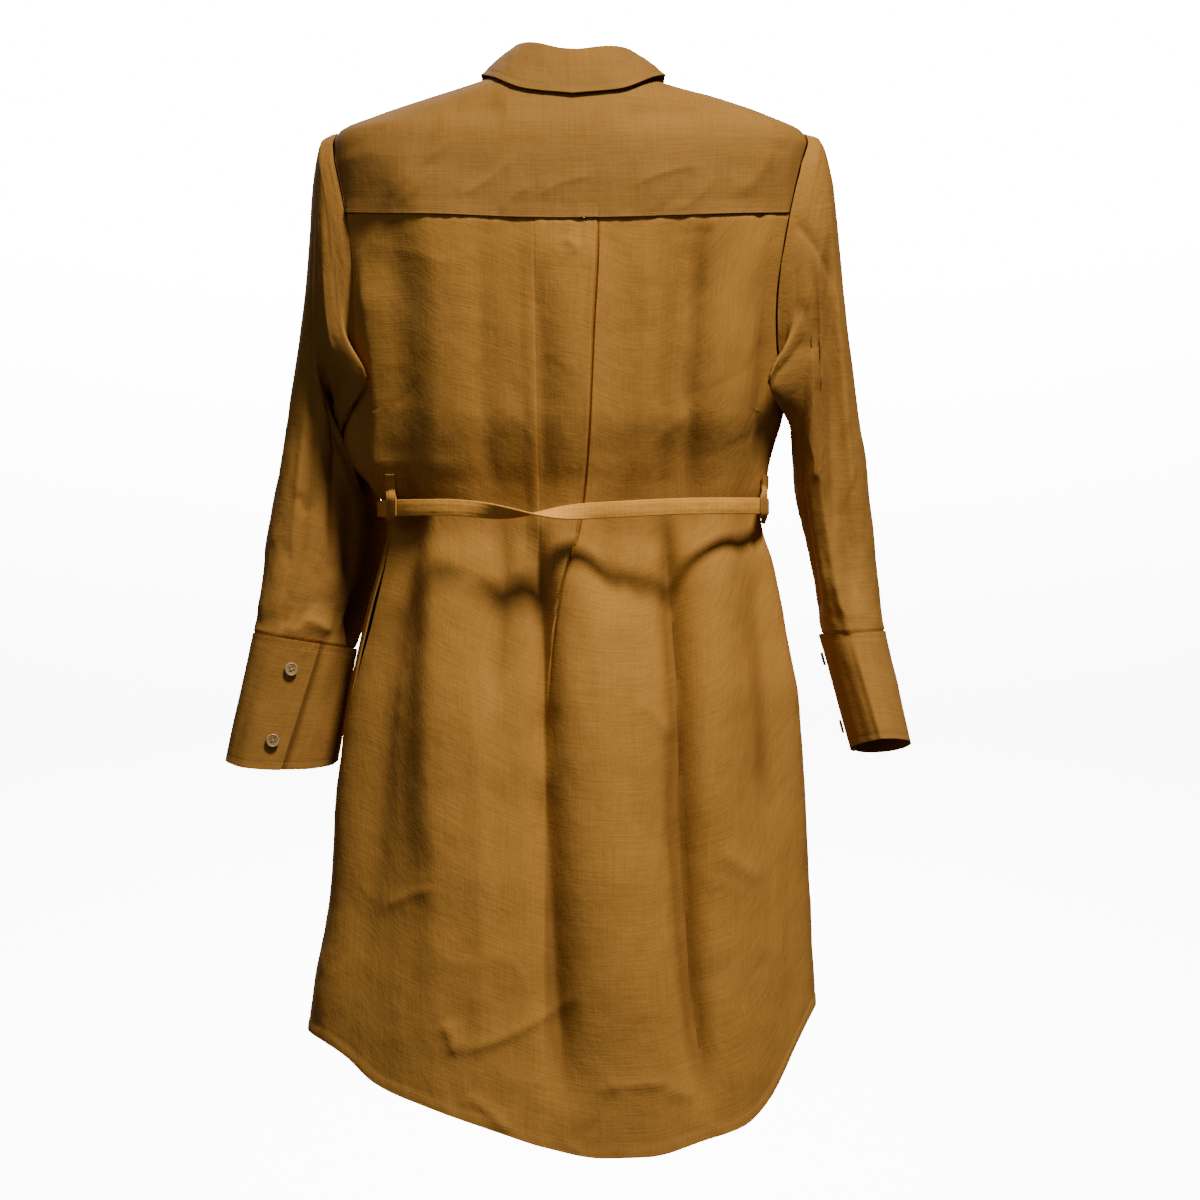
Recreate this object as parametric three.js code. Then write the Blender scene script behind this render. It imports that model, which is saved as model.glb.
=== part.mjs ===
// A long-sleeved shirt dress with a box-pleated back, tie belt and deep two-button cuffs, hanging filled out and hollow.
// Millimetres. +Z is up, the back of the dress faces -Y and the wearer's right side is +X.
// The origin is where the shoulders carry the dress: between the two neck points, at the top of the shoulder seams.
import * as THREE from "three";

// Driving sizes of the cut
const clothWall = 1.5;
const seamGap = 0.3;
const neckHalfWidth = 65;
const neckHalfDepth = 69;
const neckCentreX = 5;
const neckCentreY = 7;
const yokeSeamZ = -125;
const yokeSag = -8; // how much lower the yoke seam lies at the centre back
const frontYokeAngle = 100; // degrees round from the centre back, just past the shoulder line
const armholeTopZ = -50;
const armholeBottomZ = -302;
const armholeBackSpread = 18.5; // degrees cut out of the back at the armhole's widest
const armholeFrontSpread = 20;
const standHeight = 24;
const beltZ = -389;
const beltWidth = 14;
const beltWall = 1.6;
const loopHeight = 43;
const loopWidth = 15;
const cuffWall = 2;
const placketWidth = 28;
const buttonRadius = 6.2;
const buttonThickness = 2.6;
const frontButtonZ = [-105, -190, -275, -352, -447, -532, -617, -702];

// Mesh densities
const backColumns = 30;
const frontColumns = 12;
const yokeRows = 5;
const armholeBackTopSteps = 4;
const armholeBackLowSteps = 8;
const armholeFrontTopSteps = 2;
const armholeFrontLowSteps = 9;

const degree = Math.PI / 180;
const clamp = (v, low, high) => Math.min(high, Math.max(low, v));
const lerp = (a, b, t) => a + (b - a) * t;
const smooth = (low, high, v) => {
  const t = clamp((v - low) / (high - low), 0, 1);
  return t * t * (3 - 2 * t);
};

// A table of named columns, read smoothly at any value of its first column, which falls from row to row.
function table(columns, rows) {
  const key = rows.map((r) => r[0]);
  const slopes = columns.slice(1).map((_, c) => {
    const value = rows.map((r) => r[c + 1]);
    const step = value.slice(1).map((v, i) => (v - value[i]) / (key[i + 1] - key[i]));
    return value.map((_, i) => {
      if (i === 0) return step[0];
      if (i === value.length - 1) return step[i - 1];
      if (step[i - 1] * step[i] <= 0) return 0;
      return (2 * step[i - 1] * step[i]) / (step[i - 1] + step[i]);
    });
  });
  return (at) => {
    const falling = key[0] > key[key.length - 1];
    const inside = falling ? clamp(at, key[key.length - 1], key[0]) : clamp(at, key[0], key[key.length - 1]);
    let i = 0;
    while (i < key.length - 2 && (falling ? inside < key[i + 1] : inside > key[i + 1])) i++;
    const h = key[i + 1] - key[i];
    const t = (inside - key[i]) / h;
    const found = {};
    columns.slice(1).forEach((name, c) => {
      const [a, b] = [rows[i][c + 1], rows[i + 1][c + 1]];
      const [m0, m1] = [slopes[c][i] * h, slopes[c][i + 1] * h];
      found[name] =
        a * (1 + 2 * t) * (1 - t) ** 2 + m0 * t * (1 - t) ** 2 + b * t * t * (3 - 2 * t) + m1 * t * t * (t - 1);
    });
    return found;
  };
}

// The body's outline at each height: how far it reaches to each side, and how square it is.
const bodyAt = table(
  ["z", "left", "right", "back", "front", "square"],
  [
    [6, 54, 54, 54, 38, 2.2],
    [0, 68, 68, 62, 48, 2.2],
    [-8, 92, 95, 70, 55, 2.2],
    [-20, 128, 138, 80, 61, 2.3],
    [-35, 172, 181, 90, 66, 2.4],
    [-50, 206, 211, 98, 71, 2.6],
    [-62, 212, 216, 102, 75, 2.7],
    [-80, 214, 215, 106, 81, 2.8],
    [-125, 213, 213, 112, 99, 2.8],
    [-200, 207, 207, 114, 116, 2.7],
    [-302, 199, 194, 110, 122, 2.5],
    [-345, 193, 182, 102, 118, 2.4],
    [-370, 175.5, 177, 96, 111, 2.4],
    [-389, 163, 172, 94, 108, 2.4],
    [-408, 162.5, 175, 96, 109, 2.4],
    [-434, 169, 184, 102, 112, 2.4],
    [-506, 187, 198, 114, 120, 2.3],
    [-560, 198, 208, 122, 126, 2.3],
    [-650, 209, 214, 130, 132, 2.2],
    [-740, 215, 218, 136, 138, 2.2],
    [-830, 231, 223, 141, 142, 2.2],
    [-980, 244, 229, 146, 146, 2.2],
  ],
);

// Folds that run down the cloth. Each row is a height, the crest's place across, its rise, and its reach to each side.
const foldColumns = ["z", "x", "rise", "leftReach", "rightReach"];
const backFolds = [
  // left shoulder blade to hem
  [
    [-60, -160, 0, 26, 50],
    [-130, -124, 7, 26, 55],
    [-200, -112, 12, 26, 60],
    [-300, -113, 13, 24, 60],
    [-389, -118, 15, 24, 55],
    [-500, -120, 19, 26, 60],
    [-620, -122, 18, 28, 62],
    [-740, -112, 13, 32, 66],
    [-860, -114, 8, 36, 70],
    [-960, -110, 4, 40, 70],
  ],
  // centre, under the pleat's right edge
  [
    [-110, 18, 0, 40, 40],
    [-150, 17, 3, 42, 40],
    [-200, 16, 9, 44, 40],
    [-300, 14, 15, 46, 42],
    [-389, 8, 20, 44, 34],
    [-440, 6, 23, 44, 30],
    [-500, 20, 25, 54, 44],
    [-620, 27, 25, 60, 55],
    [-740, 42, 22, 62, 60],
    [-860, 60, 16, 62, 60],
    [-960, 66, 9, 60, 60],
  ],
  // right shoulder blade to hem
  [
    [-120, 172, 0, 28, 24],
    [-200, 158, 8, 30, 26],
    [-300, 149, 15, 32, 30],
    [-389, 142, 16, 30, 28],
    [-500, 134, 21, 32, 36],
    [-620, 130, 21, 32, 44],
    [-740, 148, 13, 36, 48],
    [-860, 154, 8, 40, 50],
    [-960, 156, 4, 44, 50],
  ],
];
const frontFolds = [
  // left breast to hem
  [
    [-150, -104, 0, 40, 34],
    [-260, -110, 8, 40, 30],
    [-389, -104, 15, 34, 26],
    [-500, -112, 18, 40, 32],
    [-700, -126, 17, 50, 40],
    [-960, -132, 10, 54, 44],
  ],
  // left of the placket
  [
    [-300, -48, 0, 18, 16],
    [-389, -44, 9, 18, 16],
    [-480, -52, 13, 24, 20],
    [-700, -56, 11, 30, 24],
    [-960, -58, 6, 34, 26],
  ],
  // right of the placket
  [
    [-300, 44, 0, 16, 18],
    [-389, 42, 9, 16, 20],
    [-480, 50, 13, 20, 26],
    [-700, 58, 12, 24, 34],
    [-960, 60, 7, 26, 36],
  ],
  // right breast to hem
  [
    [-150, 100, 0, 34, 40],
    [-260, 112, 8, 30, 40],
    [-389, 112, 14, 28, 36],
    [-500, 116, 18, 34, 40],
    [-700, 130, 17, 42, 50],
    [-960, 138, 10, 46, 54],
  ],
];
const foldTables = {
  back: backFolds.map((rows) => table(foldColumns, rows)),
  front: frontFolds.map((rows) => table(foldColumns, rows)),
};

// The box pleat under the yoke: its two folded edges and how far it stands proud.
const pleatAt = table(
  ["z", "left", "right", "proud"],
  [
    [-120, -29, 26, 0],
    [-134, -29, 25.6, 1],
    [-165, -29, 25, 3],
    [-220, -28, 22, 3.2],
    [-330, -25, 16, 3.0],
    [-400, -17, 9, 2.6],
    [-500, -13, 12, 1.6],
    [-600, -10, 18, 0],
    [-980, -6, 24, 0],
  ],
);
const pleatEdge = 1.6; // how far across the folded edge takes to rise

// The hem's height at each place across, for the back and for the shorter front.
const hemAt = {
  back: table(
    ["x", "z"],
    [
      [-240, -853],
      [-205, -875],
      [-174, -897],
      [-124, -915],
      [-61, -936],
      [-20, -949],
      [30, -958],
      [70, -957],
      [119, -944],
      [155, -933],
      [180, -912],
      [198, -886],
      [211, -860],
      [225, -832],
      [240, -822],
    ],
  ),
  front: table(
    ["x", "z"],
    [
      [-240, -853],
      [-200, -868],
      [-150, -890],
      [-80, -908],
      [0, -915],
      [80, -908],
      [150, -886],
      [205, -850],
      [240, -822],
    ],
  ),
};

function bodyRing(angle, z) {
  const size = bodyAt(z);
  const across = Math.sin(angle * degree);
  const behind = Math.cos(angle * degree);
  const side = across < 0 ? size.left : size.right;
  const deep = behind > 0 ? size.back : size.front;
  const radius =
    (Math.abs(across / side) ** size.square + Math.abs(behind / deep) ** size.square) ** (-1 / size.square);
  return new THREE.Vector3(radius * across, -radius * behind, z);
}

function foldRise(place, back, z) {
  let rise = 0;
  for (const at of foldTables[back ? "back" : "front"]) {
    const fold = at(z);
    const off = place.x - fold.x;
    const reach = off < 0 ? fold.leftReach : fold.rightReach;
    rise += fold.rise * (Math.exp(-((off / reach) ** 2)) - 0.35);
  }
  return rise;
}

function pleatRise(x, z) {
  const pleat = pleatAt(z);
  return pleat.proud * smooth(pleat.left - pleatEdge, pleat.left, x) * (1 - smooth(pleat.right, pleat.right + pleatEdge, x));
}

// A point of the body's outer face. The angle runs from 0 at the centre back to 180 at the centre front, + towards +X.
function bodyPoint(angle, z) {
  const place = bodyRing(angle, z);
  const turned = ((angle % 360) + 540) % 360 - 180;
  const back = Math.abs(turned) < 90;
  const behind = Math.abs(Math.cos(angle * degree));
  const fade = smooth(0.12, 0.42, behind);
  const placketCalm = back ? 1 : smooth(6, 30, Math.abs(place.x));
  let out = foldRise(place, back, z) * fade * placketCalm;
  if (back) out += pleatRise(place.x, z);
  const step = 0.4;
  const along = bodyRing(angle + step, z).sub(bodyRing(angle - step, z)).normalize();
  return place.add(new THREE.Vector3(along.y, -along.x, 0).multiplyScalar(out));
}

function bodyNormal(angle, z) {
  const dAngle = 0.5;
  const dZ = 1.5;
  const across = bodyPoint(angle + dAngle, z).sub(bodyPoint(angle - dAngle, z));
  const up = bodyPoint(angle, z + dZ).sub(bodyPoint(angle, z - dZ));
  return across.cross(up).normalize();
}

const bodyOff = (angle, z, out) => bodyPoint(angle, z).addScaledVector(bodyNormal(angle, z), out);

// The height at which a line up the body meets the neck hole.
function neckZ(angle) {
  let [low, high] = [-120, 6];
  for (let i = 0; i < 30; i++) {
    const middle = (low + high) / 2;
    const place = bodyRing(angle, middle);
    const inside = ((place.x - neckCentreX) / neckHalfWidth) ** 2 + ((place.y - neckCentreY) / neckHalfDepth) ** 2 < 1;
    if (inside) high = middle;
    else low = middle;
  }
  return low;
}

const hemZ = (angle) => {
  const back = Math.cos(angle * degree) > 0;
  return hemAt[back ? "back" : "front"](bodyRing(angle, -900).x).z;
};

// The angle at which a height's ring lies this far in front of (+) or behind (-) the side seam line.
function sideAngle(side, z, y) {
  const size = bodyAt(z);
  const reach = side < 0 ? size.left : size.right;
  return side * (90 + Math.asin(clamp(y / reach, -0.9, 0.9)) / degree);
}

// The armhole: turn 0 at the shoulder, 90 behind, 180 under the arm, -90 in front. Gives the body's angle and height.
const armholeMiddleZ = (armholeTopZ + armholeBottomZ) / 2;
const armholeHalf = (armholeTopZ - armholeBottomZ) / 2;
function armholeAt(side, turn) {
  const across = Math.sin(turn * degree);
  const spread = across > 0 ? armholeBackSpread : armholeFrontSpread;
  return { angle: side * (90 - spread * across), z: armholeMiddleZ + armholeHalf * Math.cos(turn * degree) };
}
const backTurn = Math.acos((yokeSeamZ - armholeMiddleZ) / armholeHalf) / degree; // where the yoke seam ends
const frontTurn = Math.asin((frontYokeAngle - 90) / armholeFrontSpread) / degree;
const steps = (from, to, count) => Array.from({ length: count + 1 }, (_, i) => lerp(from, to, i / count));
const turnsBackTop = steps(backTurn, 0, armholeBackTopSteps);
const turnsBackLow = steps(180, backTurn, armholeBackLowSteps);
const turnsFrontTop = steps(0, -frontTurn, armholeFrontTopSteps);
const turnsFrontLow = steps(-180, -frontTurn, armholeFrontLowSteps);

// A closed solid from a grid of outer points and the inner points behind them. A grid may close on itself across.
function wallGeometry(outer, inner, wraps = false) {
  const rows = outer.length;
  const columns = outer[0].length;
  const positions = [];
  outer.flat().forEach((p) => positions.push(p.x, p.y, p.z));
  inner.flat().forEach((p) => positions.push(p.x, p.y, p.z));
  const shift = rows * columns;
  const index = [];
  const quad = (a, b, c, d) => index.push(a, b, c, a, c, d);
  const spans = wraps ? columns : columns - 1;
  for (let j = 0; j < rows - 1; j++) {
    for (let i = 0; i < spans; i++) {
      const k = (i + 1) % columns;
      const [a, b, c, d] = [j * columns + i, j * columns + k, (j + 1) * columns + k, (j + 1) * columns + i];
      quad(a, b, c, d);
      quad(shift + d, shift + c, shift + b, shift + a);
    }
  }
  for (let i = 0; i < spans; i++) {
    const k = (i + 1) % columns;
    const top = (rows - 1) * columns;
    quad(shift + i, shift + k, k, i);
    quad(top + i, top + k, shift + top + k, shift + top + i);
  }
  if (!wraps) {
    for (let j = 0; j < rows - 1; j++) {
      const [a, d] = [j * columns, (j + 1) * columns];
      const [b, c] = [a + columns - 1, d + columns - 1];
      quad(a, d, shift + d, shift + a);
      quad(shift + b, shift + c, c, b);
    }
  }
  const geometry = new THREE.BufferGeometry();
  geometry.setAttribute("position", new THREE.Float32BufferAttribute(positions, 3));
  geometry.setIndex(index);
  geometry.computeVertexNormals();
  return geometry;
}

// A wall of the body from a grid of angles and heights, seen from outside with the angle growing to the right.
function bodyWall(grid, lift = 0, wall = clothWall) {
  const outer = grid.map((row) => row.map(([angle, z]) => bodyOff(angle, z, lift + (lift ? wall : 0))));
  const inner = grid.map((row) => row.map(([angle, z]) => bodyOff(angle, z, lift - (lift ? 0 : wall))));
  return wallGeometry(outer, inner);
}

const linen = new THREE.MeshStandardMaterial({ color: 0xa06c30, roughness: 0.85, metalness: 0, side: THREE.DoubleSide });
const horn = new THREE.MeshStandardMaterial({ color: 0xb79a68, roughness: 0.4, metalness: 0 });
const dress = new THREE.Group();
function addPiece(name, geometry, material = linen) {
  const piece = new THREE.Mesh(geometry, material);
  piece.name = name;
  dress.add(piece);
  return piece;
}

const halfSeam = seamGap / 2 + 0.05;

// In-seam pockets: the side seam is left open below each belt loop, and gapes a little.
const pocketTopZ = -409;
const pocketBottomZ = -562;
const pocketGape = 5;
const gape = (z) => {
  const share = (z - pocketTopZ) / (pocketBottomZ - pocketTopZ);
  return share > 0 && share < 1 ? Math.sin(share * Math.PI) * pocketGape : 0;
};

// The side seams swing a little to the back below the waist, the left one more.
const seamSwing = table(
  ["z", "left", "right"],
  [
    [-302, 0, 0],
    [-345, -12, -1],
    [-389, -26, -3],
    [-500, -30, -6],
    [-600, -26, -7],
    [-700, -18, -6],
    [-800, -7, -3],
    [-870, 0, 0],
  ],
);
const seamY = (side, z) => (side < 0 ? seamSwing(z).left : seamSwing(z).right);
const backSideAngle = (side, z) => sideAngle(side, z, seamY(side, z) - halfSeam - gape(z));
const frontSideAngle = (side, z) => sideAngle(side, z, seamY(side, z) + halfSeam + gape(z) * 0.4);

// The heights of the rows under the armhole, shared by back and front so that the side seams meet.
const skirtFootZ = -870;
const skirtHeights = [skirtFootZ, -815, -760, -705, -650, -600, -555, -510, -470, -434, -408, -389, -370, -345, armholeBottomZ];
const skirtShare = skirtHeights.map((z) => (z - skirtFootZ) / (armholeBottomZ - skirtFootZ));

// The angle at which the back lies at this x.
function backAngleAt(x, z) {
  const size = bodyAt(z);
  const wide = x < 0 ? size.left : size.right;
  const left = Math.max(0, 1 - Math.abs(x / wide) ** size.square);
  return Math.atan2(x, size.back * left ** (1 / size.square)) / degree;
}

// Columns of the back: closer at the pleat's edges, and steady up to this angle whatever the side edge does.
const steadyAngle = 52;
function backColumnAngles(z, leftEdge, rightEdge) {
  const pleat = pleatAt(z);
  const edges = [pleat.left - pleatEdge, pleat.left, pleat.right, pleat.right + pleatEdge].map((x) =>
    backAngleAt(x, z),
  );
  const sideCount = (backColumns - 6) / 4;
  const left = [...steps(leftEdge, -steadyAngle, sideCount), ...steps(-steadyAngle, edges[0], sideCount).slice(1)];
  const right = [...steps(edges[3], steadyAngle, sideCount), ...steps(steadyAngle, rightEdge, sideCount).slice(1)];
  return [...left, ...steps(edges[1], edges[2], 4), ...right];
}

function yokeSeamAt(angle) {
  const across = clamp(Math.abs(angle) / armholeAt(1, backTurn).angle, 0, 1);
  return yokeSeamZ + yokeSag * (1 - across * across);
}

function makeBackPanel() {
  const grid = [];
  for (const share of skirtShare) {
    const z0 = lerp(skirtFootZ, armholeBottomZ, share);
    const angles = backColumnAngles(z0, backSideAngle(-1, z0), backSideAngle(1, z0));
    grid.push(angles.map((angle) => [angle, lerp(hemZ(angle), armholeBottomZ, share)]));
    const row = grid[grid.length - 1];
    row[0][0] = backSideAngle(-1, row[0][1]);
    row[row.length - 1][0] = backSideAngle(1, row[row.length - 1][1]);
  }
  for (const turn of turnsBackLow.slice(1)) {
    const right = armholeAt(1, turn);
    const share = (right.z - armholeBottomZ) / (yokeSeamZ - armholeBottomZ);
    const angles = backColumnAngles(right.z, -right.angle, right.angle);
    grid.push(
      angles.map((angle) => [
        angle,
        lerp(armholeBottomZ, yokeSeamAt(angle) - seamGap / 2, share),
      ]),
    );
  }
  addPiece("back_panel", bodyWall(grid));
}

function makeYoke() {
  const seamEnd = armholeAt(1, backTurn).angle;
  const across = backColumnAngles(yokeSeamZ, -seamEnd, seamEnd);
  const bottom = across.map((angle) => [angle, yokeSeamAt(angle) + seamGap / 2]);
  const rightEnd = [...turnsBackTop.slice(1), ...turnsFrontTop.slice(1)].map((turn) => {
    const at = armholeAt(1, turn);
    return [at.angle, at.z];
  });
  rightEnd[rightEnd.length - 1][0] -= 0.08;
  const leftEnd = rightEnd.map(([angle, z]) => [-angle, z]).reverse();
  const line = [...leftEnd, ...bottom, ...rightEnd];
  const grid = steps(0, 1, yokeRows).map((share) => line.map(([angle, z]) => [angle, lerp(z, neckZ(angle), share)]));
  addPiece("back_yoke", bodyWall(grid));
}

const lineCentreZ = -97; // how high the rows reach at the centre front where those at the armhole reach the yoke
const frontTopZ = armholeAt(1, -frontTurn).z;
const centreFrontZ = (turn) => {
  const share = (armholeAt(1, turn).z - armholeBottomZ) / (frontTopZ - armholeBottomZ);
  return lerp(armholeBottomZ, lineCentreZ, share);
};

function makeFront(side, name, centreX) {
  const grid = [];
  const centreAngle = (z) => {
    const y = bodyAt(z).front;
    return 180 - Math.atan2(side * centreX, y) / degree;
  };
  const frontRow = (z0, edge, heightOf) => {
    const angles = steps(centreAngle(z0), Math.abs(edge), frontColumns);
    return angles.map((angle, i) => [side * angle, heightOf(angle, i / frontColumns)]);
  };
  for (const share of skirtShare) {
    const z0 = lerp(skirtFootZ, armholeBottomZ, share);
    const row = frontRow(z0, frontSideAngle(side, z0), (angle) => lerp(hemZ(side * angle), armholeBottomZ, share));
    row[row.length - 1][1] = lerp(hemZ(side * 89.9), armholeBottomZ, share);
    row[row.length - 1][0] = frontSideAngle(side, row[row.length - 1][1]);
    grid.push(row);
  }
  for (const turn of turnsFrontLow.slice(1)) {
    const at = armholeAt(1, turn);
    const centreZ = centreFrontZ(turn);
    grid.push(frontRow(centreZ, at.angle + 0.08, (_, s) => lerp(centreZ, at.z, s * s)));
  }
  const last = grid[grid.length - 1];
  for (const share of steps(0, 1, yokeRows).slice(1)) {
    grid.push(last.map(([angle, z]) => [angle, lerp(z, neckZ(angle), share)]));
  }
  // seen from outside the angle must grow to the right
  if (side > 0) grid.forEach((row) => row.reverse());
  addPiece(name, bodyWall(grid));
}

// The button band lies over both fronts at the centre, on the same rows.
const centreRows = [
  ...skirtShare.map((share) => lerp(hemZ(180), armholeBottomZ, share)),
  ...turnsFrontLow.slice(1).map((turn) => centreFrontZ(turn)),
  ...steps(0, 1, yokeRows).slice(1).map((share) => lerp(lineCentreZ, neckZ(180), share)),
];
const placketLift = 0.45;
function makePlacket() {
  const heights = centreRows.map((z, i) => (i === 0 ? z + 1 : i === centreRows.length - 1 ? z - 1 : z));
  const grid = heights.map((z) => {
    const deep = bodyAt(z).front;
    const half = Math.atan2(placketWidth / 2, deep) / degree;
    return steps(180 - half, 180 + half, 2).map((angle) => [angle, z]);
  });
  addPiece("front_placket", bodyWall(grid, placketLift));
}

const neckOutward = (place) =>
  new THREE.Vector3((place.x - neckCentreX) / neckHalfWidth, (place.y - neckCentreY) / neckHalfDepth, 0).normalize();

// The stand rises from the neck seam, and its right end laps over the left at the front.
function standPoint(angle, share, out) {
  const turned = ((angle % 360) + 540) % 360 - 180;
  const base = bodyRing(turned, neckZ(turned));
  const inward = neckOutward(base).negate();
  const frontness = smooth(90, 180, Math.abs(turned));
  const sideness = Math.abs(Math.sin(turned * degree));
  const lean = lerp(lerp(6, 13, sideness), 7, frontness);
  const gap = seamGap + 0.7 * frontness;
  const height = standHeight * lerp(0.93, 1.08, frontness);
  return base
    .add(new THREE.Vector3(0, 0, gap + share * height))
    .addScaledVector(inward, share * lean - out);
}
const standStart = -189;
const standEnd = 189;
function makeStand() {
  const angles = steps(standStart, standEnd, 38);
  const lap = (angle) => smooth(158, 168, angle) * (clothWall + seamGap + 0.3);
  const rows = steps(0, 1, 2);
  const outer = rows.map((share) => angles.map((angle) => standPoint(angle, share, lap(angle))));
  const inner = rows.map((share) => angles.map((angle) => standPoint(angle, share, lap(angle) - clothWall)));
  addPiece("collar_stand", wallGeometry(outer, inner));
}

// The collar's free edge, from the centre back round to its point.
const collarEdgeAt = table(
  ["angle", "x", "y", "z"],
  [
    [0, 0, -86, -21],
    [30, 43, -80, -16],
    [60, 70, -53, -4],
    [90, 83, 3, 2.5],
    [120, 81, 46, -8],
    [145, 71, 84, -52],
    [166, 48, 106, -97],
  ],
);
const collarEndAngle = 166;
function collarPoint(angle, share, out) {
  const side = angle < 0 ? -1 : 1;
  const turn = Math.abs(angle);
  const edge = collarEdgeAt(turn);
  const foldTurn = turn * lerp(1, 172 / collarEndAngle, smooth(60, collarEndAngle, turn));
  const fold = standPoint(side * foldTurn, 1, 2.9 + 1.2 * smooth(150, 160, foldTurn));
  fold.z += 1.4 - 4 * Math.exp(-((turn / 26) ** 2));
  const end = new THREE.Vector3(neckCentreX + side * edge.x, edge.y, edge.z);
  const outward = neckOutward(fold);
  const bulge = Math.sin(share * Math.PI) * 2.6;
  return fold
    .lerp(end, share)
    .addScaledVector(outward, bulge * lerp(1, 0.6, share) + out)
    .add(new THREE.Vector3(0, 0, out * 0.3));
}
function makeCollar() {
  const angles = steps(-collarEndAngle, collarEndAngle, 36);
  const rows = steps(1, 0, 4);
  const outer = rows.map((share) => angles.map((angle) => collarPoint(angle, share, 0)));
  const inner = rows.map((share) => angles.map((angle) => collarPoint(angle, share, -clothWall)));
  addPiece("collar", wallGeometry(outer, inner));
}

// Each sleeve: the outer and inner edges of its sections as the back view shows them, and half its depth.
const sleeveColumns = ["row", "outerX", "outerY", "outerZ", "innerX", "innerY", "innerZ", "depth"];
const sleeveTables = {
  left: table(sleeveColumns, [
    [0, -205, 0, -51, -197, 0, -303, 60],
    [1, -216, 0, -55, -200, 1, -306, 60],
    [2, -225, 0, -68, -202, 2, -311, 60],
    [3, -230, -1, -100, -204, 4, -319, 60],
    [4, -233, -2, -150, -204, 22, -330, 57],
    [5, -238, -3, -205, -200, 41, -343, 45],
    [6, -244, -5, -258, -181.5, 53, -360, 48],
    [7, -251, -8, -310, -168, 61, -385, 46],
    [8, -258, -11, -360, -161, 68, -415, 44],
    [9, -264, -14, -405, -167, 67, -443, 43],
    [10, -269, -16, -442, -175, 61, -470, 40],
    [11, -274, -17, -473, -186, 53, -494, 36],
    [12, -279, -17, -499, -196, 45, -513, 31],
  ]),
  right: table(sleeveColumns, [
    [0, 211, 0, -51, 197, 0, -303, 60],
    [1, 222, 0, -53, 198, 1, -306, 61],
    [2, 231, 0, -62, 199, 2, -311, 61],
    [3, 238, 0, -90, 200, 4, -318, 61],
    [4, 243, 0, -134, 201, 6, -328, 61],
    [5, 248, 0, -187, 202, 9, -341, 61],
    [6, 254, 0, -240, 203, 12, -358, 60],
    [7, 261, 0, -294, 205, 13, -378, 59],
    [8, 268, -1, -346, 210, 12, -400, 57],
    [9, 273, -3, -394, 217, 9, -424, 55],
    [10, 277, -6, -435, 222, 5, -450, 52],
    [11, 280.5, -10, -470, 225, 0, -476, 50],
    [12, 284, -15, -497, 229, -6, -500, 47],
  ]),
};
// Folds down the sleeves: the turn of the crest or trough, its rise, its spread and the rows it runs between.
const sleeveFolds = {
  left: [
    { turn: 125, rise: -21, spread: 33, from: 3, to: 12.4 },
    { turn: 60, rise: -5, spread: 24, from: 5, to: 12 },
    { turn: -70, rise: -6, spread: 26, from: 2, to: 11 },
    { turn: -130, rise: 5, spread: 22, from: 3, to: 12 },
  ],
  right: [
    { turn: 62, rise: -10, spread: 20, from: 3, to: 11.6 },
    { turn: 112, rise: 5, spread: 22, from: 4, to: 12 },
    { turn: -60, rise: -6, spread: 26, from: 3, to: 11 },
    { turn: -120, rise: 5, spread: 24, from: 3, to: 12 },
  ],
};
const turnOff = (a, b) => ((((a - b) % 360) + 540) % 360) - 180;
// Under each arm the loose cloth folds out behind and in over the back's side.
const underarmFolds = {
  left: { turn: 133, spread: 18, row: 2.2, reach: 1.25, inward: 27, behind: 32 },
  right: { turn: 136, spread: 19, row: 2.1, reach: 1.4, inward: 25, behind: 31 },
};
function sleevePoint(sideName, turn, row, out = 0) {
  const side = sideName === "left" ? -1 : 1;
  const at = sleeveTables[sideName](row);
  const outerEdge = new THREE.Vector3(at.outerX, at.outerY, at.outerZ);
  const innerEdge = new THREE.Vector3(at.innerX, at.innerY, at.innerZ);
  const centre = outerEdge.clone().add(innerEdge).multiplyScalar(0.5);
  const half = outerEdge.clone().sub(innerEdge).multiplyScalar(0.5);
  const halfLength = half.length();
  const behind = new THREE.Vector3(0, -1, 0).addScaledVector(half, half.y / halfLength ** 2).normalize();
  let rise = out;
  for (const fold of sleeveFolds[sideName]) {
    const off = turnOff(turn, fold.turn);
    const along = smooth(fold.from, fold.from + 2, row) * (1 - smooth(fold.to - 2, fold.to, row));
    rise += fold.rise * along * Math.exp(-((off / fold.spread) ** 2));
  }
  const [c, s] = [Math.cos(turn * degree), Math.sin(turn * degree)];
  const ring = centre
    .clone()
    .addScaledVector(half, (c * (halfLength + rise)) / halfLength)
    .addScaledVector(behind, s * (at.depth + rise));
  const loose = underarmFolds[sideName];
  const round = turnOff(turn, loose.turn) / loose.spread;
  const down = (row - loose.row) / loose.reach;
  const share = smooth(0.6, 1.6, row) * Math.exp(-(round ** 2) - down ** 2);
  const bulge = new THREE.Vector3(-side * loose.inward, -loose.behind, 0).multiplyScalar(share);
  ring.add(bulge);
  const blend = 1 - smooth(0, 3.4, row);
  if (blend === 0) return ring;
  const arm = armholeAt(side, turn);
  const seam = bodyPoint(arm.angle, arm.z);
  const away = new THREE.Vector3(side * (1.3 + 9 * Math.min(row, 1.5)), 0, -3 * row);
  const head = seam.add(away).add(bulge).addScaledVector(bodyNormal(arm.angle, arm.z), out);
  return ring.lerp(head, blend);
}
function sleeveTurns() {
  const back = [...turnsBackTop].reverse().concat([...turnsBackLow].reverse().slice(1));
  const front = turnsFrontLow.concat([...turnsFrontTop].reverse().slice(1));
  return [...back, ...front.slice(1, -1)]; // 0 to 180 behind, then round the front
}
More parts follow.
